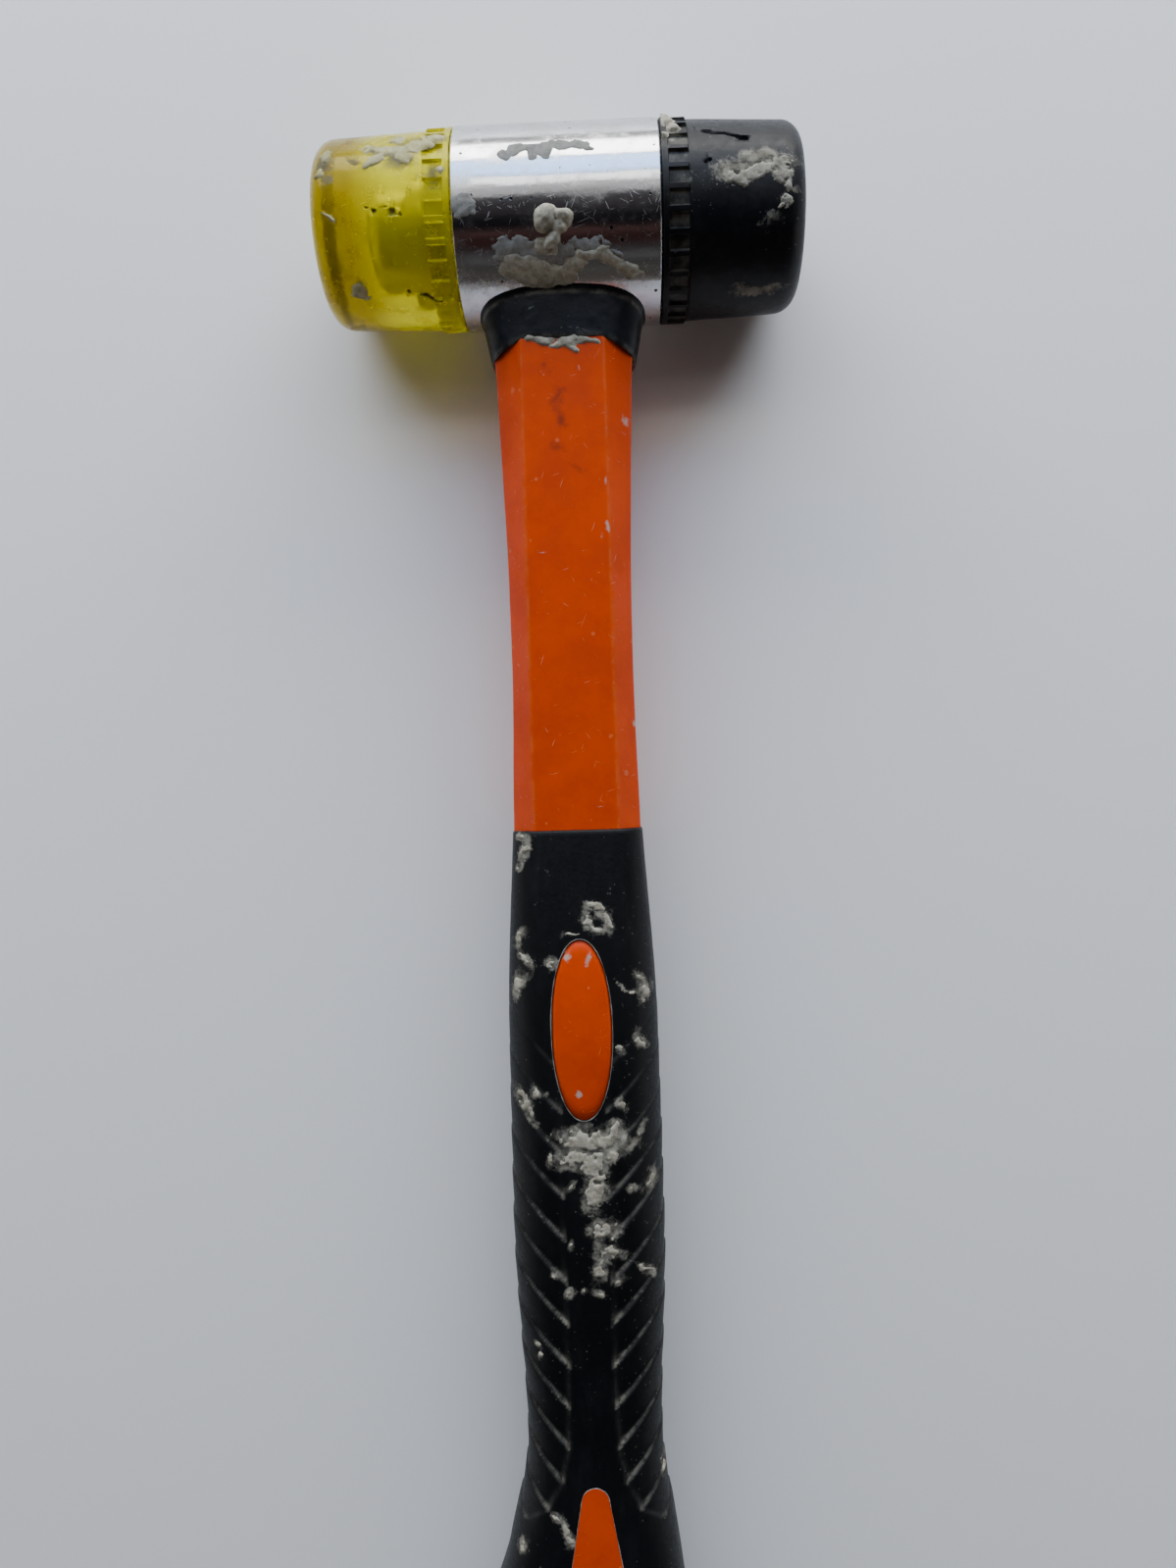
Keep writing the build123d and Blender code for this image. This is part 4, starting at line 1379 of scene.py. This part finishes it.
def plaster_finish(name, light, dark):
    """Dried plaster: warm grey, with painted shade in its hollows and pores, gritty at every scale and quite
    matt.
    """
    made, tree, shader, where = new_material(name, Base_Color=light, Roughness=0.92)
    clumps = noise(tree, where, 700.0, 6.0, 0.7)
    grit = noise(tree, where, 3200.0, 4.0, 0.7)
    pores = place_group(tree, specks, Vector=where, Scale=2200.0, Share=0.16).outputs["Mask"]
    # Painted shade: the colour is darker where the clumps' relief is low, and darker still in the pores.
    tone = mix_colour(tree, remap(tree, clumps, 0.36, 0.62), dark, light)
    tone = mix_colour(tree, maths(tree, "MULTIPLY", pores, 0.45), tone, (0.10, 0.09, 0.075, 1))
    tree.links.new(tone, shader.inputs["Base Color"])
    relief = maths(tree, "ADD", clumps, maths(tree, "MULTIPLY", grit, 0.3))
    relief = maths(tree, "ADD", relief, maths(tree, "MULTIPLY", pores, -0.4))
    raise_relief(tree, shader, relief, 0.45, 0.0003)
    return made


dried_plaster = plaster_finish("dried_plaster", (0.42, 0.395, 0.315, 1), (0.25, 0.23, 0.17, 1))
thin_plaster = plaster_finish("thin_plaster", (0.33, 0.315, 0.26, 1), (0.17, 0.16, 0.125, 1))
yellowed_plaster = plaster_finish("yellowed_plaster", (0.47, 0.44, 0.25, 1), (0.30, 0.27, 0.11, 1))


def crust(name, body, points, away, amount, thickness, seed, paint=dried_plaster, bumps=0.6):
    """Closed crust over a grid of surface points with outward directions. Its top rises where there is
    plaster and dips just under the surface elsewhere, so that its edge is where the two cross. Only
    squares near plaster are kept, with a flat underside and a wall along every open edge."""
    rough = lumps(points, 1.8 * mm, seed, 4)
    risen = thickness * (1 - np.exp(-3.5 * np.clip(amount, 0, None))) * (1 + 2 * bumps * (rough - 0.5))
    lift = np.where(amount > 0, 0.02 * mm + risen, np.maximum(amount, -0.4) * 0.5 * mm)
    near = amount > -0.12
    kept = near[:-1, :-1] | near[1:, :-1] | near[:-1, 1:] | near[1:, 1:]
    for _ in range(4):
        falling = kept[:-1, :-1] & kept[1:, 1:] & ~kept[1:, :-1] & ~kept[:-1, 1:]
        rising = kept[1:, :-1] & kept[:-1, 1:] & ~kept[:-1, :-1] & ~kept[1:, 1:]
        touch = falling | rising
        kept[:-1, :-1] |= touch
        kept[1:, :-1] |= touch
        kept[:-1, 1:] |= touch
        kept[1:, 1:] |= touch
    top = (points + lift[..., None] * away).reshape(-1, 3)
    bottom = (points - 0.25 * mm * away).reshape(-1, 3)
    wide = points.shape[1]
    row, column = np.nonzero(kept)
    first = row * wide + column
    quads = np.stack([first, first + 1, first + wide + 1, first + wide], -1)
    one, two, three = (top[quads[0, k]] for k in range(3))
    if np.cross(two - one, three - one) @ away.reshape(-1, 3)[quads[0, 0]] < 0:
        quads = quads[:, ::-1]
    edges = np.concatenate([quads[:, [k, (k + 1) % 4]] for k in range(4)])
    size = len(top)
    forward = edges[:, 0] * size + edges[:, 1]
    backward = edges[:, 1] * size + edges[:, 0]
    open_edges = edges[~np.isin(forward, backward)]
    walls = np.stack(
        [open_edges[:, 1], open_edges[:, 0], open_edges[:, 0] + size, open_edges[:, 1] + size], -1
    )
    faces = np.concatenate([quads, quads[:, ::-1] + size, walls])
    used, renumbered = np.unique(faces, return_inverse=True)
    every = np.vstack([top, bottom])
    piece = add_mesh(name, every[used], renumbered.reshape(faces.shape).tolist(), sharp=60)
    piece.data.materials.append(paint)
    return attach(piece, body)


def head_crust(name, spots, low, high, thickness, seed, ragged, grain, paint=dried_plaster, bumps=0.6):
    """Crust on the steel head, with spots given in mm along the head and round from its top."""
    across = np.arange(low[0], high[0], 0.16)[None, :]
    round_ = np.arange(low[1], high[1], 0.16)[:, None]
    across, round_ = np.broadcast_arrays(across, round_)
    angle = round_ * mm / head_radius
    away = np.stack([0 * angle, np.sin(angle), np.cos(angle)], -1)
    points = np.array([0, head_y, axis_z]) + head_radius * away + across[..., None] * np.array([mm, 0, 0])
    amount = splash(across, round_, spots, seed, ragged, grain)
    return crust(name, "mallet", points, away, amount, thickness, seed + 3, paint, bumps)


head_cake_spots = [
    (-7.6, -14.2, 3.4, 1.6, -25, 1.0),
    (-4.8, -15.6, 4.8, 1.9, -8, 1.5),
    (-1.0, -16.6, 3.4, 2.0, 5, 1.4),
    (-2.2, -11.2, 2.0, 1.8, 0, 1.1),
    (2.6, -15.0, 2.4, 1.5, 10, 1.2),
    (5.8, -13.0, 3.0, 1.1, 8, 1.3),
    (9.4, -14.0, 2.6, 1.1, -28, 1.2),
    (12.3, -16.0, 2.6, 1.1, -20, 1.1),
    (14.6, -17.2, 1.7, 0.9, 0, 1.0),
]
head_blob_spots = [
    (-1.9, -6.4, 1.55, 1.7, 0, 1.5),
    (1.1, -6.7, 1.4, 1.15, 0, 1.4),
    (0.0, -8.3, 1.3, 1.2, 30, 1.3),
    (-1.0, -10.2, 1.2, 1.5, -20, 1.1),
]
head_thin_spots = [
    (5.7, -11.4, 4.2, 1.6, -6, 0.9),
    (1.5, -12.4, 3.0, 1.6, 0, 0.9),
    (10.5, -12.6, 3.0, 0.8, -30, 0.6),
    (-17.2, -4.2, 2.2, 1.6, -10, 1.1),
    (-10.5, -9.3, 1.6, 0.4, 0, 0.6),
    (-8.0, -11.8, 3.8, 2.6, 0, 1.2),
    (-4.0, -13.0, 3.4, 2.2, 0, 1.2),
]
head_flat_spots = [
    (-9.2, 5.7, 1.3, 1.1, 0, 1.25),
    (-6.6, 6.5, 2.0, 1.2, 12, 1.3),
    (-3.7, 6.8, 2.1, 1.2, 0, 1.3),
    (-3.9, 5.5, 0.7, 1.1, 0, 1.1),
    (-1.5, 6.0, 1.2, 1.8, 0, 1.25),
    (1.4, 6.7, 1.8, 0.9, 6, 1.2),
    (4.2, 7.0, 1.8, 1.0, 8, 1.25),
    (6.2, 6.3, 1.0, 0.7, -30, 1.0),
]
head_crust("plaster_cake", head_cake_spots, (-14, -20), (18, -8), 0.55 * mm, 101, 0.42, 1.3, bumps=0.22)
head_crust("plaster_blob", head_blob_spots, (-5, -13), (5, -3), 1.7 * mm, 107, 0.15, 1.2, bumps=0.3)
grey_skin = plaster_finish("grey_skin", (0.27, 0.268, 0.25, 1), (0.20, 0.197, 0.18, 1))
thin_place = ((-19.2, -15), (16, 0))
head_crust("plaster_film_on_head", head_thin_spots, *thin_place, 0.22 * mm, 113, 0.6, 1.0, grey_skin)
head_crust("flaked_patch", head_flat_spots, (-13, 2), (10, 11), 0.12 * mm, 117, 0.5, 1.1, grey_skin)


def cap_crust(name, body, way, spots, low, high, thickness, seed, ragged, grain, paint):
    """Crust on a cap's barrel and band, with spots given in mm out from the seam and round from the top."""
    out = np.arange(low[0], high[0], 0.18)[None, :]
    round_ = np.arange(low[1], high[1], 0.18)[:, None]
    out, round_ = np.broadcast_arrays(out, round_)
    straight = face_end - edge_radius - end_crown
    u = face_seat + out * mm
    taper = root_radius + (tip_radius - root_radius) * (u - face_seat) / (straight - face_seat)
    past = np.clip((u - straight) / edge_radius, 0, 0.97)
    radius = taper - edge_radius * (1 - np.sqrt(1 - past**2)) + 0.15 * mm
    radius = np.where(out < 4.9, rim_radius, radius)
    angle = round_ * mm / head_radius
    lean = past
    level = np.sqrt(1 - lean**2)
    away = np.stack([way * lean, level * np.sin(angle), level * np.cos(angle)], -1)
    points = np.stack(
        [way * u, head_y + radius * np.sin(angle), axis_z + radius * np.cos(angle)], -1
    )
    amount = splash(out, round_, spots, seed, ragged, grain)
    return crust(name, body, points, away, amount, thickness, seed + 3, paint)


yellow_crust_spots = [
    (9.4, 12.6, 1.4, 1.4, 20, 1.0),
    (12.6, 9.0, 3.6, 1.2, 14, 1.2),
    (14.0, 6.9, 1.9, 1.1, -35, 1.1),
    (15.4, 5.6, 0.8, 1.3, 20, 0.9),
    (9.6, 9.2, 2.2, 1.2, 25, 1.2),
    (8.0, 6.9, 1.4, 1.9, -35, 1.1),
    (5.4, 9.6, 2.4, 1.4, 10, 1.2),
    (2.8, 10.8, 1.8, 1.5, 0, 1.1),
    (22.9, 8.8, 1.2, 1.6, 20, 1.0),
    (23.6, 4.2, 0.9, 0.8, 0, 0.9),
    (22.6, -4.5, 1.3, 0.35, 40, 0.9),
    (18.7, -18.9, 1.5, 1.3, 0, 1.0),
    (1.3, 2.6, 0.9, 0.8, 0, 0.9),
]
black_crust_spots = [
    (12.6, -1.4, 2.6, 0.7, 10, 0.9),
    (15.2, -0.5, 3.2, 1.1, 12, 1.2),
    (18.0, 0.6, 2.6, 1.3, 20, 1.2),
    (20.4, 1.6, 2.3, 1.1, 25, 1.1),
    (21.6, -0.4, 1.9, 0.9, 35, 1.1),
    (22.9, -2.2, 0.9, 1.2, 0, 1.0),
    (22.9, -5.0, 1.3, 0.9, 15, 1.1),
    (21.2, -5.7, 1.0, 0.35, 0, 0.9),
]
black_seam_spots = [
    (1.2, 14.8, 1.5, 2.6, 10, 1.0),
    (2.4, 11.0, 1.2, 1.9, 0, 0.9),
    (0.9, 8.9, 0.7, 1.3, 0, 0.9),
]
yellow_place = ("yellow_face", -1, yellow_crust_spots, (0.2, -22), (25.5, 16))
black_place = ("black_face", 1, black_crust_spots, (9, -9), (25.5, 6))
band_place = ("black_face", 1, black_seam_spots, (0.2, 4), (6, 19))
cap_crust("plaster_on_yellow", *yellow_place, 0.3 * mm, 131, 0.8, 1.1, yellowed_plaster)
cap_crust("plaster_on_black", *black_place, 0.2 * mm, 137, 1.25, 0.8, thin_plaster)
cap_crust("plaster_on_black_band", *band_place, 0.7 * mm, 141, 0.5, 1.6, dried_plaster)


def grip_crust(name, spots, seed):
    """Crust on the front half of the grip, over its grooves."""
    down = np.arange(119.6, 259, 0.2)
    share = np.linspace(-0.21, 0.21, 190)
    points, _ = grip_surface(head_y - down * mm, share % 1.0, 0.02 * mm)
    x, z, across, upward = grip_outline(head_y - down * mm, share % 1.0)
    away = np.stack([across, 0 * across, upward], -1)
    amount = splash(points[..., 0] / mm, (head_y - points[..., 1]) / mm, spots, seed, 0.95, 0.9) - 0.45
    inside = ((points[..., 0]) / (window_half_width + 0.1 * mm)) ** 2
    inside += ((points[..., 1] - window_y) / (window_half_length + 0.1 * mm)) ** 2
    amount = np.where(inside < 1, -1.0, amount)
    return crust(name, "mallet", points, away, amount, 0.2 * mm, seed + 3)


grip_crust("plaster_on_grip", grip_spots, 81)


def seam_dust(name, line_x, line_y, closed, seed):
    """Thin line of caked dust where the rubber meets the orange pads on the front: a small tube along
    the seam, thinner and thicker at random."""
    ahead = np.roll(line_x, -1) - np.roll(line_x, 1), np.roll(line_y, -1) - np.roll(line_y, 1)
    if not closed:
        ahead = np.gradient(line_x), np.gradient(line_y)
    length = np.hypot(*ahead)
    side = np.stack([-ahead[1] / length, ahead[0] / length, 0 * length], -1)
    spine = np.stack([line_x, line_y, axis_z + grip_height(line_x, line_y)], -1)
    size = (0.01 + 0.2 * lumps(spine, 1.6 * mm, seed, 3) ** 2)[:, None, None] * mm
    turn = np.linspace(0, 2 * np.pi, 8, endpoint=False)[None, :, None]
    up = np.array([0, 0, 1.0])
    rings = spine[:, None] + size * (np.cos(turn) * side[:, None] + np.sin(turn) * up)
    caps = (None, None) if closed else (spine[:1], spine[-1:])
    piece = skin(name, rings, *caps, loop=closed)
    piece.data.materials.append(grey_skin)
    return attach(piece, "mallet")


oval_x, oval_y = oval_edge(np.linspace(0, 2 * np.pi, 260, endpoint=False), 0.08 * mm)
seam_dust("dust_round_oval", oval_x, window_y + oval_y, True, 161)
tip_y = tongue_apex - tongue_tip_radius
flank = np.arcsin((tongue_radius - tongue_tip_radius) / (tip_y - hole_y))
turn = np.linspace(flank, np.pi - flank, 60)
down = np.linspace(0.92, 0.02, 110) * (tip_y - hole_y)
reach = tongue_tip_radius + 0.05 * mm
side_x = reach * np.cos(flank) + down * np.tan(flank)
side_y = tip_y + reach * np.sin(flank) - down
seam_dust(
    "dust_round_tongue",
    np.concatenate([side_x, reach * np.cos(turn), -side_x[::-1]]),
    np.concatenate([side_y, tip_y + reach * np.sin(turn), side_y[::-1]]),
    False,
    163,
)


def shank_crust(name, spots, thickness, seed, paint):
    """Crust on the shank's front flat, next to the collar."""
    x, down = np.meshgrid(np.arange(-7.9, 7.9, 0.16), np.arange(22, 40, 0.16))
    points = np.stack([x * mm, head_y - down * mm, axis_z + shank_half_thickness + 0 * x], -1)
    away = np.zeros(points.shape)
    away[..., 2] = 1
    amount = splash(x, down, spots, seed, 0.6, 1.3)
    return crust(name, "mallet", points, away, amount, thickness, seed + 3, paint)


collar_edge_spots = [
    (-3.6, 25.3, 3.4, 0.8, 0, 1.1),
    (1.4, 25.9, 2.6, 1.1, -10, 1.1),
    (4.8, 25.6, 2.2, 0.8, 12, 1.1),
    (2.2, 27.2, 1.3, 0.5, 30, 1.0),
]
shank_crust("plaster_at_collar", collar_edge_spots, 0.5 * mm, 151, dried_plaster)
